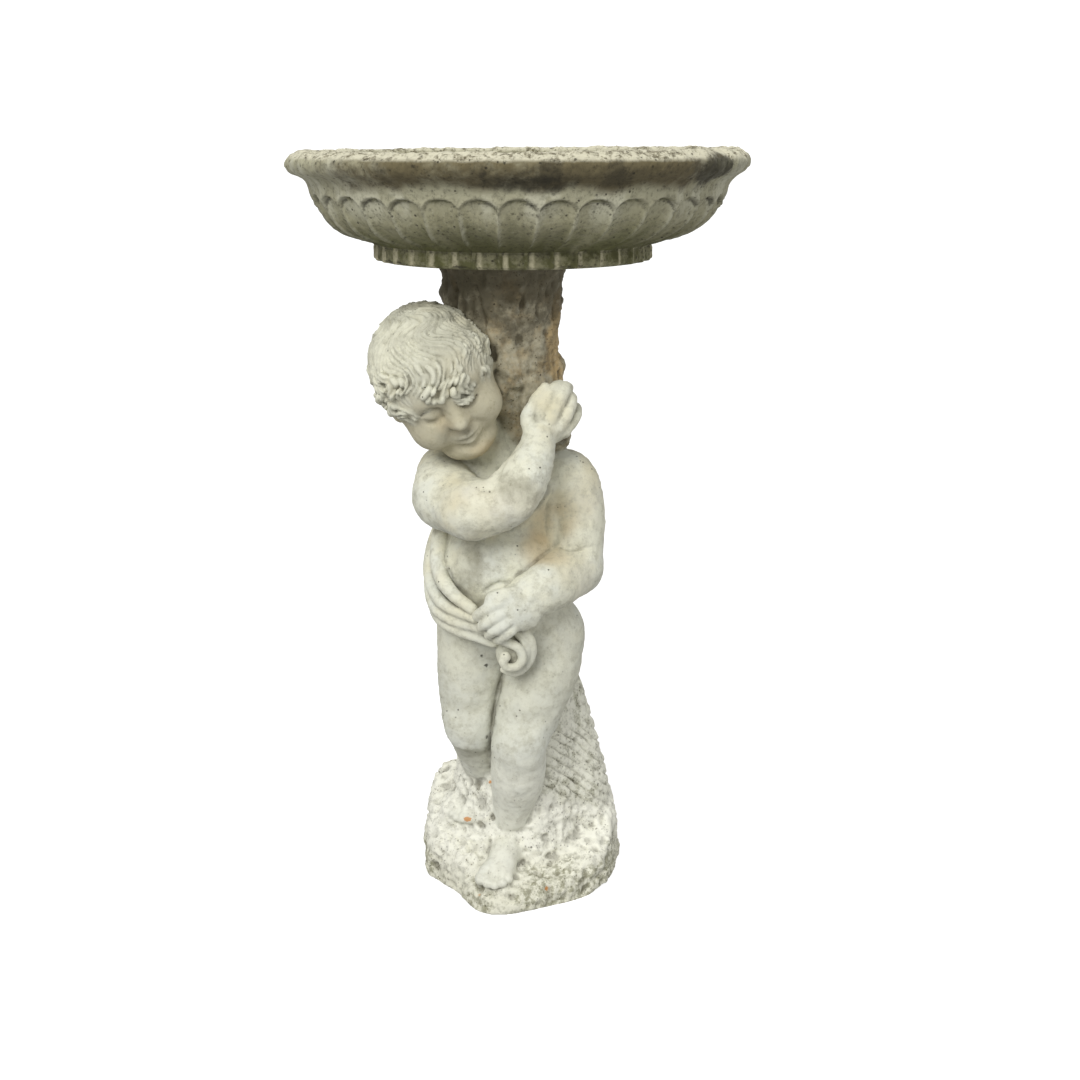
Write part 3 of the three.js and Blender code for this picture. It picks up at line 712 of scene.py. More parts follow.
def weatherPedestal(points, normals, share):
    # how far the worn surface stands in or out at each point
    depth = share["rock"] * (2.2 * layers(points, 24, 2) + 2.6 * (0.5 - np.abs(cloud(points, 10, 3)) * 1.6)
                             + 1.7 * layers(points, 6, 2, shift=5))
    rock = share["rock"] > 0.05
    depth[rock] -= share["rock"][rock] * (3.8 * pits(points[rock], 12, 0.46, 0.5) + 2.6 * pits(points[rock], 6.5, 0.5, 0.55, 2))
    tall = points * (1, 1, 0.34)
    bark = 1.1 * (0.45 - np.abs(cloud(tall, 9, 8)) * 1.5) + 1.7 * layers(points, 7, 2, shift=2) + 2.2 * layers(points, 17, 2, shift=4)
    run = (points[:, 0] * 0.6 + points[:, 2] * 0.77 + points[:, 1] * 0.22 + 5 * cloud(points, 48, 6) + 1.2 * cloud(points, 12, 7)) / 8.6
    groove = np.abs((run % 1) - 0.5) * 2
    low = smooth(points[:, 2] + 14 * cloud(points, 30, 66), 186, 158)
    fall = smooth(groove, 0.0, 0.45) * (0.75 + 0.5 * cloud(points, 15, 67))
    ridges = low * (3.0 * fall - 2.2) + (1.1 - 0.4 * low) * layers(points, 8, 3, shift=9)
    rooted = share["root"] + share["stump"] * smooth(252 - points[:, 2], 0, 24) * smooth(points[:, 0], -22, 2)
    depth += rooted * ridges + np.clip(share["stump"] + share["root"] - rooted, 0, 1) * bark
    barked = (share["stump"] > 0.05) & (points[:, 2] > 250)
    depth[barked] -= share["stump"][barked] * 1.2 * pits(points[barked], 13, 0.42, 0.4, 31)
    flesh = share["skin"] + share["face"] * 0.35
    depth += flesh * (0.8 * layers(points, 19, 2, shift=12) + 0.42 * layers(points, 6, 2, shift=14) + 0.26 * layers(points, 2.8, 1, shift=15))
    locks = share["hair"] > 0.02
    depth[locks] += share["hair"][locks] * hairStrands(points[locks])
    depth += share["cloth"] * 0.2 * layers(points, 6, 2, shift=18)
    smoothParts = share["skin"] + share["hair"] + share["cloth"] + 0.6 * share["face"]
    depth -= smoothParts * (1.6 * pits(points, 17, 0.10, 0.5, 21) + 0.7 * pits(points, 9, 0.12, 0.35, 23))
    return depth


share = sharesOf(places)
depth = weatherPedestal(places, normals, share)
hold = smooth(places[:, 2], 0.2, 3) * smooth(cherub["top"] - places[:, 2], 0.2, 3)
places += normals * (depth * hold)[:, None]
places[:, 2] = np.clip(places[:, 2], 0, cherub["top"])
print("pedestal weathered")


def meshObject(name, places, faces, ratio=1.0):
    mesh = bpy.data.meshes.new(name)
    mesh.vertices.add(len(places))
    mesh.vertices.foreach_set("co", (np.asarray(places) * millimetre).astype(np.float32).ravel())
    mesh.loops.add(faces.size)
    mesh.loops.foreach_set("vertex_index", faces.astype(np.int32).ravel())
    mesh.polygons.add(len(faces))
    mesh.polygons.foreach_set("loop_start", np.arange(0, faces.size, faces.shape[1], dtype=np.int32))
    mesh.update(calc_edges=True)
    made = bpy.data.objects.new(name, mesh)
    bpy.context.scene.collection.objects.link(made)
    if ratio < 1:
        thin = made.modifiers.new("fewer triangles", "DECIMATE")
        thin.ratio = ratio
        bpy.context.view_layer.update()
        fewer = bpy.data.meshes.new_from_object(made.evaluated_get(bpy.context.evaluated_depsgraph_get()))
        made.modifiers.clear()
        made.data = fewer
        bpy.data.meshes.remove(mesh)
    made.data.polygons.foreach_set("use_smooth", [True] * len(made.data.polygons))
    made.data.update()
    return made


pedestal = meshObject("pedestalStone", places, quads, cherub["triangles"] / (2 * len(quads)))
print("pedestal triangles", sum(len(p.vertices) - 2 for p in pedestal.data.polygons))
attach(pedestal, "root")
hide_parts("cherub_pedestal")


def attribute(made, name, values):
    made.data.attributes.new(name, "FLOAT", "POINT").data.foreach_set("value", np.asarray(values, np.float32))


def shapeOf(made):
    # corner places and normals of a finished piece, in millimetres, and its edges
    mesh = made.data
    points = np.empty(len(mesh.vertices) * 3, np.float32)
    mesh.vertices.foreach_get("co", points)
    facing = np.empty(len(mesh.vertices) * 3, np.float32)
    mesh.vertex_normals.foreach_get("vector", facing)
    edges = np.empty(len(mesh.edges) * 2, np.int32)
    mesh.edges.foreach_get("vertices", edges)
    return points.reshape(-1, 3).astype(np.float64) / millimetre, facing.reshape(-1, 3), edges.reshape(-1, 2)


def crevices(points, facing, edges, rounds):
    # positive in grooves and pits, negative on ridges, spread over a few rounds of neighbours
    along = points[edges[:, 1]] - points[edges[:, 0]]
    length = np.linalg.norm(along, axis=1) + 1e-6
    rise = np.einsum("ij,ij->i", along, facing[edges[:, 0]]) / length
    fall = -np.einsum("ij,ij->i", along, facing[edges[:, 1]]) / length
    count = np.bincount(edges.ravel(), minlength=len(points)) + 1e-6
    value = (np.bincount(edges[:, 0], rise, len(points)) + np.bincount(edges[:, 1], fall, len(points))) / count
    for _ in range(rounds):
        near = np.bincount(edges[:, 0], value[edges[:, 1]], len(points)) + np.bincount(edges[:, 1], value[edges[:, 0]], len(points))
        value = 0.5 * value + 0.5 * near / count
    return value


def shelterOf(points, facing, solidAt, low, high, step=3.0):
    # how shut in each point is, close by and further off, from a blurred grid of the solid
    lines = [np.arange(a - 24, b + 24, step) for a, b in zip(low, high)]
    grid = np.stack(np.meshgrid(*lines, indexing="ij"), -1).reshape(-1, 3)
    full = solidAt(grid).reshape([len(line) for line in lines]).astype(np.float32)

    def blurred(field, reach):
        for axis in range(3):
            for _ in range(2):
                pad = [(0, 0)] * 3
                pad[axis] = (reach + 1, reach)
                total = np.cumsum(np.pad(field, pad, mode="edge"), axis=axis)
                size = field.shape[axis]
                ahead = np.take(total, range(2 * reach + 1, 2 * reach + 1 + size), axis=axis)
                behind = np.take(total, range(0, size), axis=axis)
                field = (ahead - behind) / (2 * reach + 1)
        return field

    found = []
    for reach, out in ((1, 2.5), (4, 7.0)):
        soft = blurred(full, reach)
        at = [np.clip(((points[:, i] + facing[:, i] * out) - lines[i][0]) / step, 0, len(lines[i]) - 1.001) for i in range(3)]
        cell = [a.astype(int) for a in at]
        (u, v, w), (i, j, k) = [a - c for a, c in zip(at, cell)], cell
        near = (soft[i, j, k] * (1 - u) + soft[i + 1, j, k] * u) * (1 - v) + (soft[i, j + 1, k] * (1 - u) + soft[i + 1, j + 1, k] * u) * v
        k = k + 1
        far = (soft[i, j, k] * (1 - u) + soft[i + 1, j, k] * u) * (1 - v) + (soft[i, j + 1, k] * (1 - u) + soft[i + 1, j + 1, k] * u) * v
        found.append(near * (1 - w) + far * w)
    return found


def spot(points, centre, radii):
    # 1 at the centre of a soft round patch, 0 from its edge on
    away = np.linalg.norm((points - centre) / radii, axis=1)
    return 1 - smooth(away, 0.35, 1.0)


points, facing, edges = shapeOf(pedestal)
share = sharesOf(points)
near, far = shelterOf(points, facing, lambda p: whole.sample(p) < 0, (-145, -118, 0), (108, 146, 650))
for name in ("rock", "stump", "root", "skin", "hair", "cloth", "face"):
    attribute(pedestal, name, share[name])
attribute(pedestal, "crevice", crevices(points, facing, edges, 1))
attribute(pedestal, "broadCrevice", crevices(points, facing, edges, 6))
# how shut in each point is, used below for painted shade in hollows
attribute(pedestal, "shutIn", near)
attribute(pedestal, "sheltered", far)


def alongLines(points, lines, inner, reach):
    # 1 on any of the lines, 0 from reach on
    away = np.full(len(points), 1e9)
    for line in lines:
        for step in smoothRoute(line, 4):
            away = np.minimum(away, np.linalg.norm(points - step, axis=1))
    return 1 - smooth(away, inner, reach)


# dirt and painted shade along the lines where parts touch and under the right arm
attribute(pedestal, "touching", np.maximum(0.8 * alongLines(points, touching, 0.8, 3.4),
                                           0.75 * alongLines(points, cherub["underArm"], 2, 11)))
# painted shade: darker on undersides that face down
attribute(pedestal, "under", smooth(-facing[:, 2], 0.2, 1.1))
attribute(pedestal, "pale", spot(points, (46, -40, 346), (44, 40, 36)) + 0.8 * spot(points, (62, -10, 420), (30, 44, 50)))
# painted shade: an olive darkening over the right knee and shin
attribute(pedestal, "shinShade", spot(points, (-52, -18, 156), (34, 38, 32)) )
attribute(pedestal, "rustCrumbs", sum(spot(points, place, (4, 4, 4)) for place in ((-58, -4, 71), (-55, -6, 72), (-32, -8, 115), (26, -56, 19), (22, -54, 20))))
attribute(pedestal, "darkCrumbs", sum(spot(points, place, (3.6, 3.6, 3.6)) for place in (
    (28, -42, 409), (-27, -36, 247), (-38, -43, 267), (-34, -40, 179), (-33, -38, 256), (-24, -38, 252), (10, -23, 49), (-62, -6, 68), (12, -30, 40))))
tan = (spot(points, (34, -40, 404), (34, 30, 30)) + 0.8 * spot(points, (24, -52, 378), (40, 26, 34)) + 0.7 * spot(points, (-62, -86, 512), (26, 22, 20))
       + 0.8 * spot(points, (-30, -60, 480), (30, 40, 20)) + 0.6 * spot(points, (-28, -62, 530), (20, 24, 26))
       + 1.2 * spot(points, (38, -8, 575), (22, 30, 56)) + 0.2 * spot(points, (60, -20, 420), (30, 40, 60))
       + 0.5 * spot(points, (-20, -100, 440), (70, 30, 34)))
# grey stains on the head and body, and painted shade on the right shin
grimeAndShade = (spot(points, (-92, -40, 616), (34, 34, 22)) + 0.75 * spot(points, (-70, -88, 545), (30, 24, 26)) + 0.7 * spot(points, (-58, -92, 500), (30, 22, 22))
         + 0.4 * spot(points, (-36, 24, 130), (40, 50, 60)) * (share["skin"] > 0.3) + 0.8 * spot(points, (12, -58, 512), (22, 20, 12)) + 0.7 * spot(points, (-50, -54, 366), (30, 34, 38)) + 0.8 * spot(points, (-4, -102, 452), (32, 30, 26)))
attribute(pedestal, "tan", tan)
attribute(pedestal, "grimeAndShade", grimeAndShade)
print("pedestal measured for its colours")


# ---------- the bowl: fluted underside, rolled lip, hollow dish ----------
bowlLow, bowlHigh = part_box("bowl")
bowl = {
    "rim": (bowlHigh.x - bowlLow.x) / 2 / millimetre, "height": (bowlHigh.z - bowlLow.z) / millimetre,
    "under": bowlLow.z / millimetre, "foot": 133, "footHeight": 14.5, "footShift": -5,
    "flutes": 36, "fluteDepth": 5.2, "archTop": 61.5, "archRise": 12, "dish": 182, "floor": 34,
    "around": 792, "triangles": 190000,
}


def bowlSection():
    rim, top, foot = bowl["rim"], bowl["height"], bowl["foot"]
    grow = rim / 217.5
    outer = [(foot - 1.5, 0.6), (foot, 2.5), (foot, 11.5), (foot - 0.5, bowl["footHeight"]), (foot + 4, 15.9), (145.5, 17.6), (159.5, 21.8), (170, 26.4),
             (177.5, 31.4), (183, 36.4), (187.3, 42), (190.8, 48.5), (193.6, 55), (195.6, 61.5), (197.4, 68), (200.4, 73.4), (206, 77.5),
             (212.4, 81), (216.2, 85.6), (217.3, 90), (215.4, 94.4), (211, 97.8), (206, 100.2), (200, top - 1.4)]
    inner = [(195.6, 99.4), (193.4, 94.4), (191, 88), (bowl["dish"] + 2, 78), (168, 64), (146, 50), (116, 40), (74, 35), (36, bowl["floor"] + 0.3)]
    section = []
    for line, spacing in ((outer, 1.5), (outer[-1:] + inner, 3.0)):
        route = smoothRoute(line, 12)
        length = np.concatenate([[0], np.cumsum(np.linalg.norm(np.diff(route, axis=0), axis=1))])
        at = np.linspace(0, length[-1], int(length[-1] / spacing))
        section.append(np.stack([np.interp(at, length, route[:, i]) for i in (0, 1)], 1))
    under = [(r, 0.0) for r in np.linspace(6, bowl["foot"] - 6, 18)]
    outerCount = len(under) + len(section[0])
    section = np.vstack([under, section[0], section[1][1:]]) * (grow, 1)
    return section, len(under), outerCount


def modelBowl():
    section, outerStart, innerStart = bowlSection()
    rows, around = len(section), bowl["around"]
    turn = np.arange(around) * 2 * math.pi / around
    r, z = np.repeat(section[:, :1], around, 1), np.repeat(section[:, 1:], around, 1)
    phase = (turn * bowl["flutes"] / (2 * math.pi) + 0.5) % 1 - 0.5  # 0 mid-flute, half at the ridges
    drift = np.array([0.35 * math.sin(3.0 * t) + 0.3 * math.sin(7 * t + 1) for t in turn])
    outside = (np.arange(rows) >= outerStart) & (np.arange(rows) < innerStart)
    hollow = 1 - (2 * phase) ** 2  # 1 in the middle of each flute, 0 at its edges
    archTop = bowl["archTop"] + drift - bowl["archRise"] * (1 - np.sqrt(np.clip(hollow, 0, 1)))
    inFlute = smooth(archTop[None, :] - z, -0.7, 1.1) * smooth(z, bowl["footHeight"] - 0.6, bowl["footHeight"] + 3) * outside[:, None]
    depth = bowl["fluteDepth"] * inFlute * (0.42 + 0.58 * np.clip(hollow, 0, 1) ** 0.7)
    ridge = smooth(np.abs(phase), 0.39, 0.46)
    depth -= 0.9 * inFlute * smooth(np.abs(phase), 0.44, 0.49)[None, :] + 0.5 * outside[:, None] * np.exp(-((z - archTop[None, :] - 1.6) / 1.5) ** 2)
    onFoot = outside[:, None] * (1 - smooth(z, bowl["footHeight"] - 1, bowl["footHeight"] + 1))
    depth += 2.0 * onFoot * (1 - ridge[None, :])
    slope = np.gradient(section, axis=0)
    slope /= np.linalg.norm(slope, axis=1, keepdims=True) + 1e-9
    outR, outZ = slope[:, 1], -slope[:, 0]
    r = r - depth * outR[:, None]
    z = z - depth * outZ[:, None]
    lip = smooth(z, 74, 84)
    z = z + lip * (1.6 * np.cos(turn) - 0.6)[None, :] * smooth(r, 180, 200)
    r = r + lip * 0.5 * (np.cos(2 * turn + 0.6) - 1)[None, :] * smooth(r, 190, 205)
    x, y = r * np.cos(turn)[None, :], r * np.sin(turn)[None, :]
    x = x + bowl["footShift"] * (1 - smooth(z, 12, 46)) * (1 - smooth(np.arange(rows)[:, None], innerStart, innerStart + 1))
    places = np.stack([x.ravel(), y.ravel(), z.ravel() + bowl["under"]], 1)
    index = np.arange(rows * around).reshape(rows, around)
    a, b = index[:-1], index[1:]
    faces = np.stack([a, np.roll(a, -1, 1), np.roll(b, -1, 1), b], -1).reshape(-1, 4)
    middles = np.array([[bowl["footShift"], 0, bowl["under"]], [0, 0, bowl["under"] + bowl["floor"]]])
    places = np.vstack([places, middles])
    caps = []
    for ring, middle, flip in ((index[0], rows * around, True), (index[-1], rows * around + 1, False)):
        ring = ring if not flip else ring[::-1]
        caps.append(np.stack([ring, np.roll(ring, -1), np.full(around, middle)], 1))
    return places, faces, np.vstack(caps), (outerStart * around, innerStart * around)


def weatherBowl(places, facing, spans):
    z = places[:, 2] - bowl["under"]
    radius = np.hypot(places[:, 0], places[:, 1])
    inside = np.zeros(len(places))
    inside[spans[1]:] = 1
    lip = smooth(z, 76, 86)
    depth = 0.5 * layers(places, 14, 2, shift=40) + 0.35 * layers(places, 5, 2, shift=42)
    depth += lip * (1.0 * layers(places, 13, 2, shift=44) + 0.7 * layers(places, 4.5, 2, shift=46))
    depth += inside * (0.7 * layers(places, 24, 2, shift=48) + 0.4 * layers(places, 6, 2, shift=50))
    depth -= 1.5 * pits(places, 12, 0.2, 0.4, 52) + lip * 1.7 * pits(places, 6.5, 0.4, 0.5, 54)
    depth -= 2.6 * pits(places, 46, 0.12, 0.45, 57)
    turn = np.arctan2(places[:, 1], places[:, 0])
    for lean, low, high, wide in ((-0.61, 58, 96, 1.5), (-0.55, 70, 97, 1.2), (-0.5, 74, 99, 1.7), (1.9, 66, 99, 1.2), (-2.2, 70, 90, 1.2)):
        path = lean - 0.0016 * (z - low) + 0.012 * cloud(places, 9, 60)
        away = np.abs(turn - path) * radius
        depth -= 2.0 * (1 - smooth(away, 0.3, wide)) * smooth(z, low - 4, low + 4) * (1 - smooth(z, high, high + 4)) * (1 - inside)
    hold = smooth(z, 0.3, 2.2)
    return depth * hold


places, quads, caps, spans = modelBowl()
facing = normalsOf(places, quads)
facing[-2:] = ((0, 0, -1), (0, 0, 1))
places += facing * weatherBowl(places, facing, spans)[:, None]
places[:, 2] = np.maximum(places[:, 2], bowl["under"])
triangles = np.vstack([quads[:, [0, 1, 2]], quads[:, [0, 2, 3]], caps])
birdBowl = meshObject("birdBowl", places, triangles, bowl["triangles"] / len(triangles))
print("bowl triangles", len(birdBowl.data.polygons))
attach(birdBowl, "root")
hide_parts("bowl")

points, facing, edges = shapeOf(birdBowl)
height = points[:, 2] - bowl["under"]
radius = np.hypot(points[:, 0], points[:, 1])
inside = ((facing[:, 2] > 0.1) | (radius < 190)) & (height > bowl["floor"] - 2.5) & (radius < 201) & (height > 33)
outer = 1 - inside.astype(float)
outer[(height < 60) & (facing[:, 2] < 0.2)] = 1
turn = np.arctan2(points[:, 1], points[:, 0])
around = np.stack([np.cos(turn) * 190, np.sin(turn) * 190, height * 0.22], 1)
attribute(birdBowl, "crevice", crevices(points, facing, edges, 1))
attribute(birdBowl, "broadCrevice", crevices(points, facing, edges, 6))
attribute(birdBowl, "outer", outer)
attribute(birdBowl, "height", height)
attribute(birdBowl, "streaks", 0.5 + 0.5 * layers(around, 15, 3, shift=70))
attribute(birdBowl, "wideStreaks", 0.5 + 0.5 * layers(around, 52, 2, shift=72))
phase = np.abs((turn * bowl["flutes"] / (2 * math.pi) + 0.5) % 1 - 0.5)
attribute(birdBowl, "rimStain", 0.3 + 0.65 * np.cos(turn + math.radians(80)))
attribute(birdBowl, "rib", smooth(phase, 0.37, 0.45))
archEdge = bowl["archTop"] - bowl["archRise"] * (1 - np.sqrt(np.clip(1 - (2 * phase) ** 2, 0, 1)))
# painted shadow: a dark line just below each flute's arch edge
attribute(birdBowl, "archShadow", np.exp(-((height - archEdge + 1.4) / 1.7) ** 2) * outer)
attribute(birdBowl, "stain", spot(points, (172, -128, bowl["under"] + 84), (46, 40, 26)) + 0.8 * spot(points, (10, -208, bowl["under"] + 74), (90, 40, 14))
          + 0.5 * spot(points, (-150, -150, bowl["under"] + 72), (40, 40, 10)))
print("bowl modelled")


# ---------- finishes ----------
class Number:
    # a value that varies over a surface; the usual signs add Math nodes
    def __init__(self, paint, socket):
        self.paint, self.socket = paint, socket

    def calc(self, operation, *values):
        return Number(self.paint, self.paint.node("ShaderNodeMath", {"operation": operation}, dict(enumerate(values))).outputs[0])

    def __add__(self, other):
        return self.calc("ADD", self, other)

    def __sub__(self, other):
        return self.calc("SUBTRACT", self, other)

    def __rsub__(self, other):
        return self.calc("SUBTRACT", other, self)

    def __mul__(self, other):
        return self.calc("MULTIPLY", self, other)

    __radd__, __rmul__ = __add__, __mul__

    def most(self, other):
        return self.calc("MAXIMUM", self, other)

    def rise(self, low, high):
        # 0 below low, 1 above high, smooth between; low may be the larger of the two
        settings = {"interpolation_type": "SMOOTHSTEP"}
        if low > high:
            return 1 - self.rise(high, low)
        return Number(self.paint, self.paint.node("ShaderNodeMapRange", settings, {"Value": self, "From Min": low, "From Max": high}).outputs[0])


def tone(red, green, blue):
    # a colour given as screen values from 0 to 255, as the shader wants it
    return tuple((v / 255 / 12.92) if v < 10.3 else ((v / 255 + 0.055) / 1.055) ** 2.4 for v in (red, green, blue)) + (1.0,)


class Paint:
    def __init__(self, name):
        self.material = bpy.data.materials.new(name)
        self.material.use_nodes = True
        self.tree = self.material.node_tree
        self.tree.nodes.clear()
        self.shader = self.node("ShaderNodeBsdfPrincipled", {}, {"Specular IOR Level": 0.22})
        self.node("ShaderNodeOutputMaterial", {}, {"Surface": self.shader.outputs[0]})
        self.place = self.node("ShaderNodeTexCoord", {}, {}).outputs["Object"]

    def node(self, kind, settings, sockets):
        made = self.tree.nodes.new(kind)
        for key, value in settings.items():
            setattr(made, key, value)
        for key, value in sockets.items():
            if isinstance(value, Number):
                value = value.socket
            if isinstance(value, bpy.types.NodeSocket):
                self.tree.links.new(value, made.inputs[key])
            else:
                made.inputs[key].default_value = value
        return made

    def mask(self, name):
        return Number(self, self.node("ShaderNodeAttribute", {"attribute_name": name}, {}).outputs["Fac"])

    def noise(self, size, detail=3.0, rough=0.55, seed=0.0):
        # blotches about size metres across
        place = self.node("ShaderNodeVectorMath", {"operation": "ADD"}, {0: self.place, 1: (seed, seed * 0.7, seed * 1.3)}).outputs[0]
        return Number(self, self.node("ShaderNodeTexNoise", {}, {"Vector": place, "Scale": 1 / size, "Detail": detail, "Roughness": rough}).outputs[0])

    def grains(self, size, seed=0.0):
        # distance to the nearest of many scattered points, in cells
        place = self.node("ShaderNodeVectorMath", {"operation": "ADD"}, {0: self.place, 1: (seed, seed * 0.7, seed * 1.3)}).outputs[0]
        return Number(self, self.node("ShaderNodeTexVoronoi", {}, {"Vector": place, "Scale": 1 / size}).outputs["Distance"])

    def mix(self, below, above, amount, blend="MIX"):
        return self.node("ShaderNodeMix", {"data_type": "RGBA", "blend_type": blend, "clamp_result": False},
                         {0: amount, 6: below, 7: above}).outputs[2]

    def finish(self, colour, roughness, relief, strength, distance):
        self.tree.links.new(colour, self.shader.inputs["Base Color"])
        self.tree.links.new(roughness.socket, self.shader.inputs["Roughness"])
        bump = self.node("ShaderNodeBump", {}, {"Height": relief, "Strength": strength, "Distance": distance})
        self.tree.links.new(bump.outputs[0], self.shader.inputs["Normal"])
        return self.material


paleStone = {
    "cream": (224, 223, 203), "cool": (214, 216, 205), "warm": (209, 201, 169), "tan": (196, 168, 118), "grey": (160, 157, 138),
    # dirtAndShade also lays painted shade; shinShade is painted shade on the right shin
    "dull": (186, 184, 164), "dirtAndShade": (70, 64, 46), "algae": (122, 121, 84), "shinShade": (134, 132, 106), "rock": (236, 235, 221), "rockLow": (214, 212, 192), "root": (234, 233, 217),
    "bark": (176, 168, 143), "barkDark": (84, 78, 60),
    "face": (176, 167, 137), "rust": (203, 142, 82), "pore": (44, 40, 30),
}


def pedestalFinish():
    paint = Paint("paleCastStone")
    c = {name: tone(*value) for name, value in paleStone.items()}
    rock, stump, root, hair, cloth, face = (paint.mask(n) for n in ("rock", "stump", "root", "hair", "cloth", "face"))
    crevice, broad, shut, shelter = (paint.mask(n) for n in ("crevice", "broadCrevice", "shutIn", "sheltered"))
    height = Number(paint, paint.node("ShaderNodeSeparateXYZ", {}, {0: paint.place}).outputs[2])
    patches, clouds, fine = paint.noise(0.055, 4, 0.6), paint.noise(0.09, 3, 0.6, 3.1), paint.noise(0.006, 4, 0.7, 1.7)
    mottle = paint.noise(0.017, 5, 0.65, 5.3)
    colour = paint.mix(c["cream"], c["cool"], patches.rise(0.42, 0.62) * 0.8)
    colour = paint.mix(colour, c["warm"], clouds.rise(0.47, 0.66) * height.rise(0.24, 0.4) * 0.7)
    colour = paint.mix(colour, c["cool"], height.rise(0.34, 0.2) * 0.55)
    colour = paint.mix(colour, c["dull"], (mottle * 0.7 + fine * 0.4).rise(0.48, 0.7) * 0.55)
    colour = paint.mix(colour, c["face"], face * 0.75)
    colour = paint.mix(colour, c["dull"], hair * (0.3 + 0.5 * patches.rise(0.4, 0.6)))
    colour = paint.mix(colour, c["tan"], paint.mask("tan").rise(0.0, 1.3) * patches.rise(0.25, 0.6) * 0.6)
    # grey mottling and stains, with painted shade on the right shin
    colour = paint.mix(colour, c["grey"], (mottle * 0.6 + patches * 0.3 + paint.mask("grimeAndShade") * 0.45).rise(0.52, 0.95) * 0.85)
    # painted shade on the right knee and shin
    colour = paint.mix(colour, c["shinShade"], (paint.mask("shinShade") * 0.7 + mottle * 0.5).rise(0.4, 1.0) * 0.6)
    colour = paint.mix(colour, c["rock"], (paint.mask("pale") * patches.rise(0.3, 0.55)).most(height.rise(0.19, 0.14)) * 0.4)
    colour = paint.mix(colour, c["dull"], height.rise(0.17, 0.21) * height.rise(0.31, 0.27) * 0.35)
    # ground
    colour = paint.mix(colour, c["rock"], rock * 0.9)
    colour = paint.mix(colour, c["rockLow"], rock * (height.rise(0.05, 0.008) * 0.75).most(mottle.rise(0.52, 0.68) * 0.5))
    colour = paint.mix(colour, c["algae"], rock * (patches + height.rise(0.05, 0.0) * 0.25).rise(0.56, 0.74) * fine.rise(0.4, 0.6) * 0.6)
    # bark
    upper = stump * height.rise(0.27, 0.42)
    colour = paint.mix(colour, c["bark"], upper * 0.92)
    colour = paint.mix(colour, c["tan"], upper * (paint.mask("tan") * 0.3 + paint.noise(0.024, 4, 0.6, 8.3)).rise(0.48, 0.8) * 0.75)
    colour = paint.mix(colour, c["barkDark"], upper * (paint.noise(0.02, 4, 0.65, 6.1) * 0.8 + patches * 0.4 + height.rise(0.575, 0.645) * 0.3).rise(0.52, 0.78) * 0.8)
    colour = paint.mix(colour, c["barkDark"], upper * broad.rise(0.0, 0.12) * 0.5)
    lower = root + stump * height.rise(0.3, 0.24)
    colour = paint.mix(colour, c["root"], lower * 0.8)
    colour = paint.mix(colour, c["algae"], lower * (mottle * 0.7 + fine * 0.4).rise(0.52, 0.72) * 0.5)
    # dirt and painted shade in folds, pits, undercuts and shut-in hollows
    rough = rock.most(stump).most(root)
    hollowDarkening = (shut.rise(0.34, 0.62) * 0.8).most(broad.rise(0.03, 0.14) * 0.75)
    hollowDarkening = hollowDarkening.most(crevice.rise(0.06, 0.3) * (0.35 + 0.35 * rough)).most(shelter.rise(0.4, 0.7) * 0.5)
    hollowDarkening = hollowDarkening * (0.55 + 0.6 * mottle.rise(0.3, 0.62))
    colour = paint.mix(colour, c["dirtAndShade"], hollowDarkening * 0.62)
    # dirt and painted shade where parts touch, and painted shade on the undersides
    touching = (paint.mask("touching") * (0.35 + 0.9 * mottle)).rise(0.05, 0.75).most(paint.mask("under") * (1 - rough) * 0.5 * mottle.rise(0.3, 0.6))
    colour = paint.mix(colour, c["dirtAndShade"], touching * 0.6)
    # ridges come up pale, most on the hair and the cloth
    colour = paint.mix(colour, c["cream"], broad.rise(-0.05, -0.13) * (0.15 + 0.4 * hair.most(cloth)))
    # pores, specks of lichen and a few rusty crumbs
    pores = paint.grains(0.0085, 2.0).rise(0.13, 0.07) * paint.noise(0.03, 2, 0.5, 7.7).rise(0.52, 0.6)
    colour = paint.mix(colour, c["pore"], pores * 0.75)
    specks = paint.grains(0.0036, 4.0).rise(0.3, 0.16) * (mottle * 0.7 + fine * 0.3 + rough * 0.05).rise(0.5, 0.62)
    colour = paint.mix(colour, c["dirtAndShade"], specks * (0.2 + 0.5 * rough))
    colour = paint.mix(colour, c["pore"], paint.mask("darkCrumbs").rise(0.3, 0.7) * 0.85)
    colour = paint.mix(colour, c["rust"], paint.mask("rustCrumbs").rise(0.3, 0.7) * 0.9)
    colour = paint.mix(colour, c["rust"], paint.grains(0.019, 6.0).rise(0.2, 0.12) * paint.noise(0.04, 1, 0.5, 9.1).rise(0.62, 0.66) * rock * 0.9)
    colour = paint.mix(colour, c["dirtAndShade"], fine.rise(0.46, 0.7) * (0.12 + 0.22 * rough))
    colour = paint.mix(colour, c["cool"], paint.noise(0.0045, 3, 0.7, 11.3).rise(0.52, 0.75) * upper * height.rise(0.62, 0.54) * 0.25)
    relief = paint.noise(0.0016, 3, 0.7) * 0.6 + paint.noise(0.005, 2, 0.6) * 0.4 - pores
    return paint.finish(colour, 0.86 + 0.1 * mottle, relief, 0.7, 0.0011)


mossyStone = {
    # lip is painted top light, rib and light also give painted highlights, dark also gives painted shadow
    "lip": (190, 186, 164), "band": (160, 157, 132), "light": (188, 186, 164), "flute": (154, 150, 122), "olive": (80, 80, 46), "brown": (92, 83, 58),
    "dark": (40, 37, 27), "moss": (100, 102, 56), "rib": (186, 180, 150), "dish": (146, 143, 116),
}


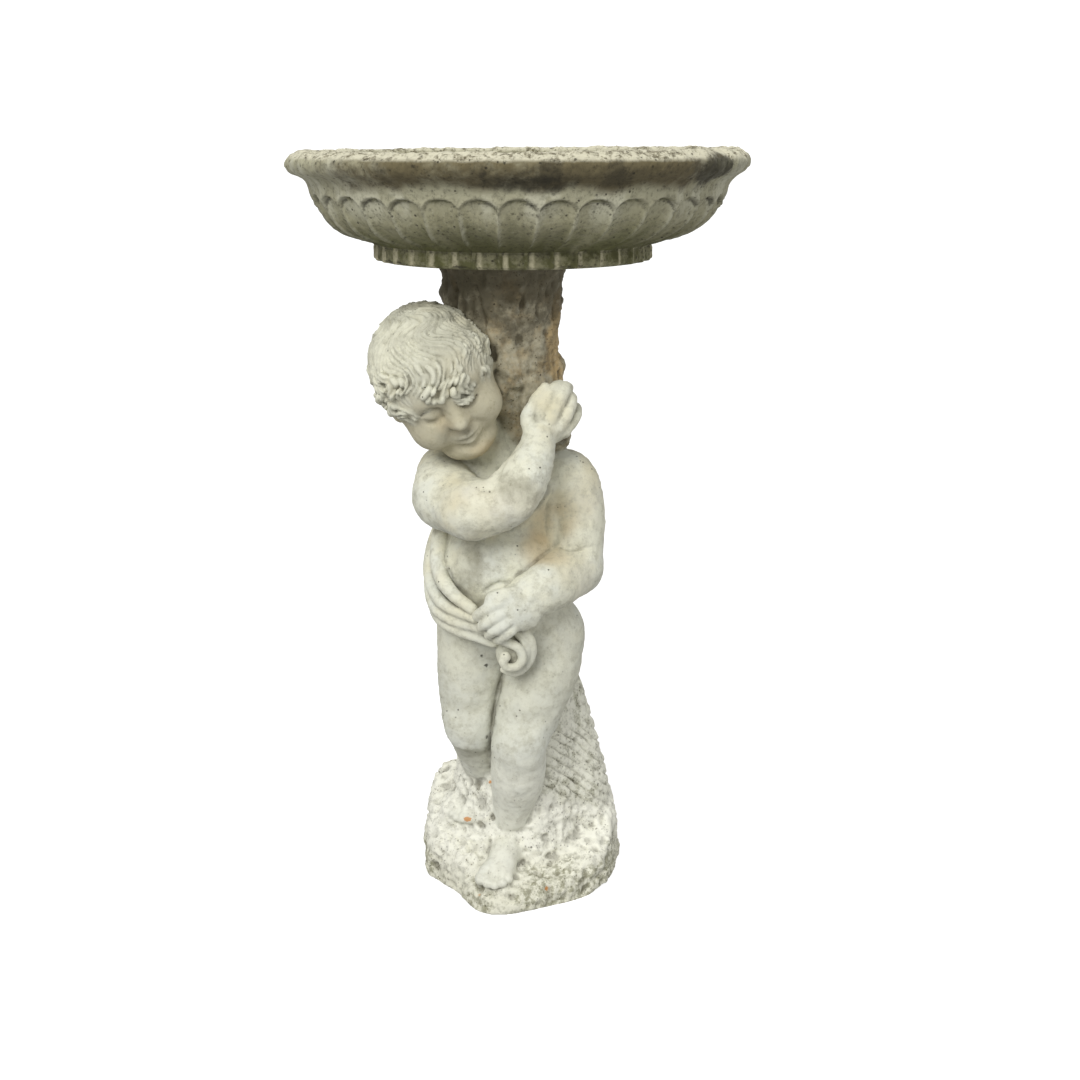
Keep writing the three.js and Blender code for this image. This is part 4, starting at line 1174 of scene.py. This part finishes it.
def bowlFinish():
    paint = Paint("mossyCastStone")
    c = {name: tone(*value) for name, value in mossyStone.items()}
    height, outer, rib = paint.mask("height"), paint.mask("outer"), paint.mask("rib")
    crevice, broad = paint.mask("crevice"), paint.mask("broadCrevice")
    streaks, wide = paint.mask("streaks"), paint.mask("wideStreaks")
    patches, mottle, fine = paint.noise(0.06, 4, 0.6, 2.2), paint.noise(0.014, 5, 0.65, 4.4), paint.noise(0.005, 4, 0.7, 6.6)
    colour = paint.mix(c["flute"], c["band"], (height + streaks * 14).rise(44, 66))
    colour = paint.mix(colour, c["light"], (streaks * 0.6 + mottle * 0.5).rise(0.5, 0.75) * height.rise(34, 56) * 0.75)
    colour = paint.mix(colour, c["olive"], (height + streaks * 22 + wide * 12).rise(64, 30) * 0.92)
    colour = paint.mix(colour, c["moss"], (mottle * 0.6 + wide * 0.5).rise(0.5, 0.72) * height.rise(60, 24) * 0.4)
    # a brown stain under the lip, with painted shade in the concave flare
    colour = paint.mix(colour, c["brown"], (height + streaks * 8).rise(69, 80) * (paint.mask("rimStain") + wide * 0.4 + mottle * 0.5).rise(0.96, 1.32) * 0.95)
    # painted top light: the lip's upper bevel made pale cream
    colour = paint.mix(colour, c["lip"], (height + mottle * 5).rise(93.5, 97.5) * 0.95)
    # painted shadow under the flute arches
    colour = paint.mix(colour, c["dark"], paint.mask("archShadow").rise(0.25, 0.95) * streaks.rise(0.2, 0.5) * 0.62)
    onFoot = height.rise(15.6, 14.4) * outer
    colour = paint.mix(colour, c["flute"], onFoot * mottle.rise(0.4, 0.6) * 0.6)
    # painted highlights: paler ribs on the foot ring and on the lower flute ridges
    colour = paint.mix(colour, c["rib"], onFoot * rib * 0.9)
    colour = paint.mix(colour, c["light"], rib * height.rise(62, 40) * height.rise(14, 20) * broad.rise(0.02, -0.14) * 0.7)
    within = (1 - outer) * height.rise(99, 92)
    colour = paint.mix(colour, c["dish"], within * 0.9)
    colour = paint.mix(colour, c["olive"], within * (patches * 0.7 + mottle * 0.4 + height.rise(70, 36) * 0.15).rise(0.5, 0.75) * 0.8)
    colour = paint.mix(colour, c["dark"], (paint.mask("stain") * 0.6 + mottle * 0.75).rise(0.62, 0.95) * outer * 0.8)
    hollowDarkening = (broad.rise(0.04, 0.24) * 0.8).most(crevice.rise(0.06, 0.3) * 0.75) * (0.4 + 0.8 * mottle.rise(0.3, 0.6))
    colour = paint.mix(colour, c["dark"], hollowDarkening * 0.8)
    specks = paint.grains(0.0046, 1.0).rise(0.34, 0.2) * (mottle * 0.6 + fine * 0.4).rise(0.46, 0.6)
    colour = paint.mix(colour, c["dark"], specks * (0.5 + 0.3 * height.rise(84, 92)))
    fineSpecks = paint.grains(0.0027, 8.0).rise(0.34, 0.16) * (mottle * 0.5 + fine * 0.5).rise(0.44, 0.58)
    colour = paint.mix(colour, c["dark"], fineSpecks * (0.35 + 0.35 * height.rise(88, 95)))
    colour = paint.mix(colour, c["brown"], height.rise(92, 95) * (mottle * 0.5 + fine * 0.6).rise(0.52, 0.68) * 0.75)
    colour = paint.mix(colour, c["dark"], (streaks * 0.7 + fine * 0.4).rise(0.58, 0.8) * height.rise(66, 76) * height.rise(96, 90) * paint.mask("rimStain").rise(0.55, 0.9) * 0.5)
    pores = (paint.grains(0.0095, 3.0) + mottle * 0.1).rise(0.2, 0.12) * patches.rise(0.42, 0.55)
    colour = paint.mix(colour, c["dark"], pores * 0.8)
    colour = paint.mix(colour, c["dark"], fine.rise(0.44, 0.68) * 0.34)
    colour = paint.mix(colour, c["light"], paint.noise(0.004, 3, 0.7, 12.9).rise(0.52, 0.75) * 0.25 * height.rise(72, 64) * height.rise(24, 40) * outer)
    relief = paint.noise(0.0018, 3, 0.7) * 0.6 + paint.noise(0.006, 2, 0.6) * 0.4 - pores
    return paint.finish(colour, 0.84 + 0.12 * mottle, relief, 0.6, 0.001)


pedestal.data.materials.clear()
pedestal.data.materials.append(pedestalFinish())
birdBowl.data.materials.clear()
birdBowl.data.materials.append(bowlFinish())
print("finishes made")


# ---------- studio ----------
studio = {
    "floor": (0.5, 0.5, 0.5, 1), "glow": 0.74, "world": 0.42, "key": 104, "fill": 15, "top": 22,
    "eye": (0, -1.40, 0.767), "down": 15.63, "right": 0.828, "lens": 48.43,
}


def backdrop():
    # a pale floor that curves up behind into a wall
    line = [(-4.0, 0.0), (-1.0, 0.0), (1.2, 0.0)]
    line += [(1.8 + 1.2 * math.sin(a), 1.2 - 1.2 * math.cos(a)) for a in np.linspace(0, math.pi / 2, 14)] + [(3.0, 4.5)]
    built = bmesh.new()
    left, right = ([built.verts.new((x, y, z)) for y, z in line] for x in (-5, 5))
    for i in range(len(line) - 1):
        built.faces.new((left[i], right[i], right[i + 1], left[i + 1]))
    mesh = bpy.data.meshes.new("backdrop")
    built.to_mesh(mesh)
    built.free()
    made = bpy.data.objects.new("backdrop", mesh)
    bpy.context.scene.collection.objects.link(made)
    mesh.polygons.foreach_set("use_smooth", [True] * len(mesh.polygons))
    plain = bpy.data.materials.new("paleFloor")
    plain.use_nodes = True
    shader = plain.node_tree.nodes["Principled BSDF"]
    shader.inputs["Base Color"].default_value = studio["floor"]
    shader.inputs["Roughness"].default_value = 0.95
    shader.inputs["Specular IOR Level"].default_value = 0.1
    shader.inputs["Emission Color"].default_value = (1, 1, 1, 1)
    shader.inputs["Emission Strength"].default_value = studio["glow"]
    mesh.materials.append(plain)
    made.visible_diffuse = False  # the pale floor doesn't throw its light back up at the stone
    return made


def softLight(name, place, aim, size, power):
    made = bpy.data.objects.new(name, bpy.data.lights.new(name, "AREA"))
    bpy.context.scene.collection.objects.link(made)
    made.data.size, made.data.energy = size, power
    made.location = place
    made.rotation_euler = (Vector(aim) - Vector(place)).to_track_quat("-Z", "Y").to_euler()
    return made


world = bpy.data.worlds.new("softRoom")
bpy.context.scene.world = world
world.use_nodes = True
world.node_tree.nodes["Background"].inputs[0].default_value = (1, 1, 1, 1)
world.node_tree.nodes["Background"].inputs[1].default_value = studio["world"]
lights = [softLight("key", (-1.1, -2.7, 2.5), (0, 0, 0.35), 2.0, studio["key"]),
          softLight("fill", (2.3, -1.8, 1.2), (0, 0, 0.35), 2.0, studio["fill"]),
          softLight("top", (0.2, 0.3, 2.6), (0, 0, 0.3), 1.8, studio["top"])]
backdrop()
camera = bpy.data.objects.new("camera", bpy.data.cameras.new("camera"))
bpy.context.scene.collection.objects.link(camera)
camera.location = studio["eye"]
camera.rotation_euler = (math.radians(90 - studio["down"]), 0, math.radians(-studio["right"]))
camera.data.lens, camera.data.sensor_width = studio["lens"], 36
bpy.context.scene.camera = camera
bpy.context.scene.view_settings.view_transform = "Standard"
print("studio set")
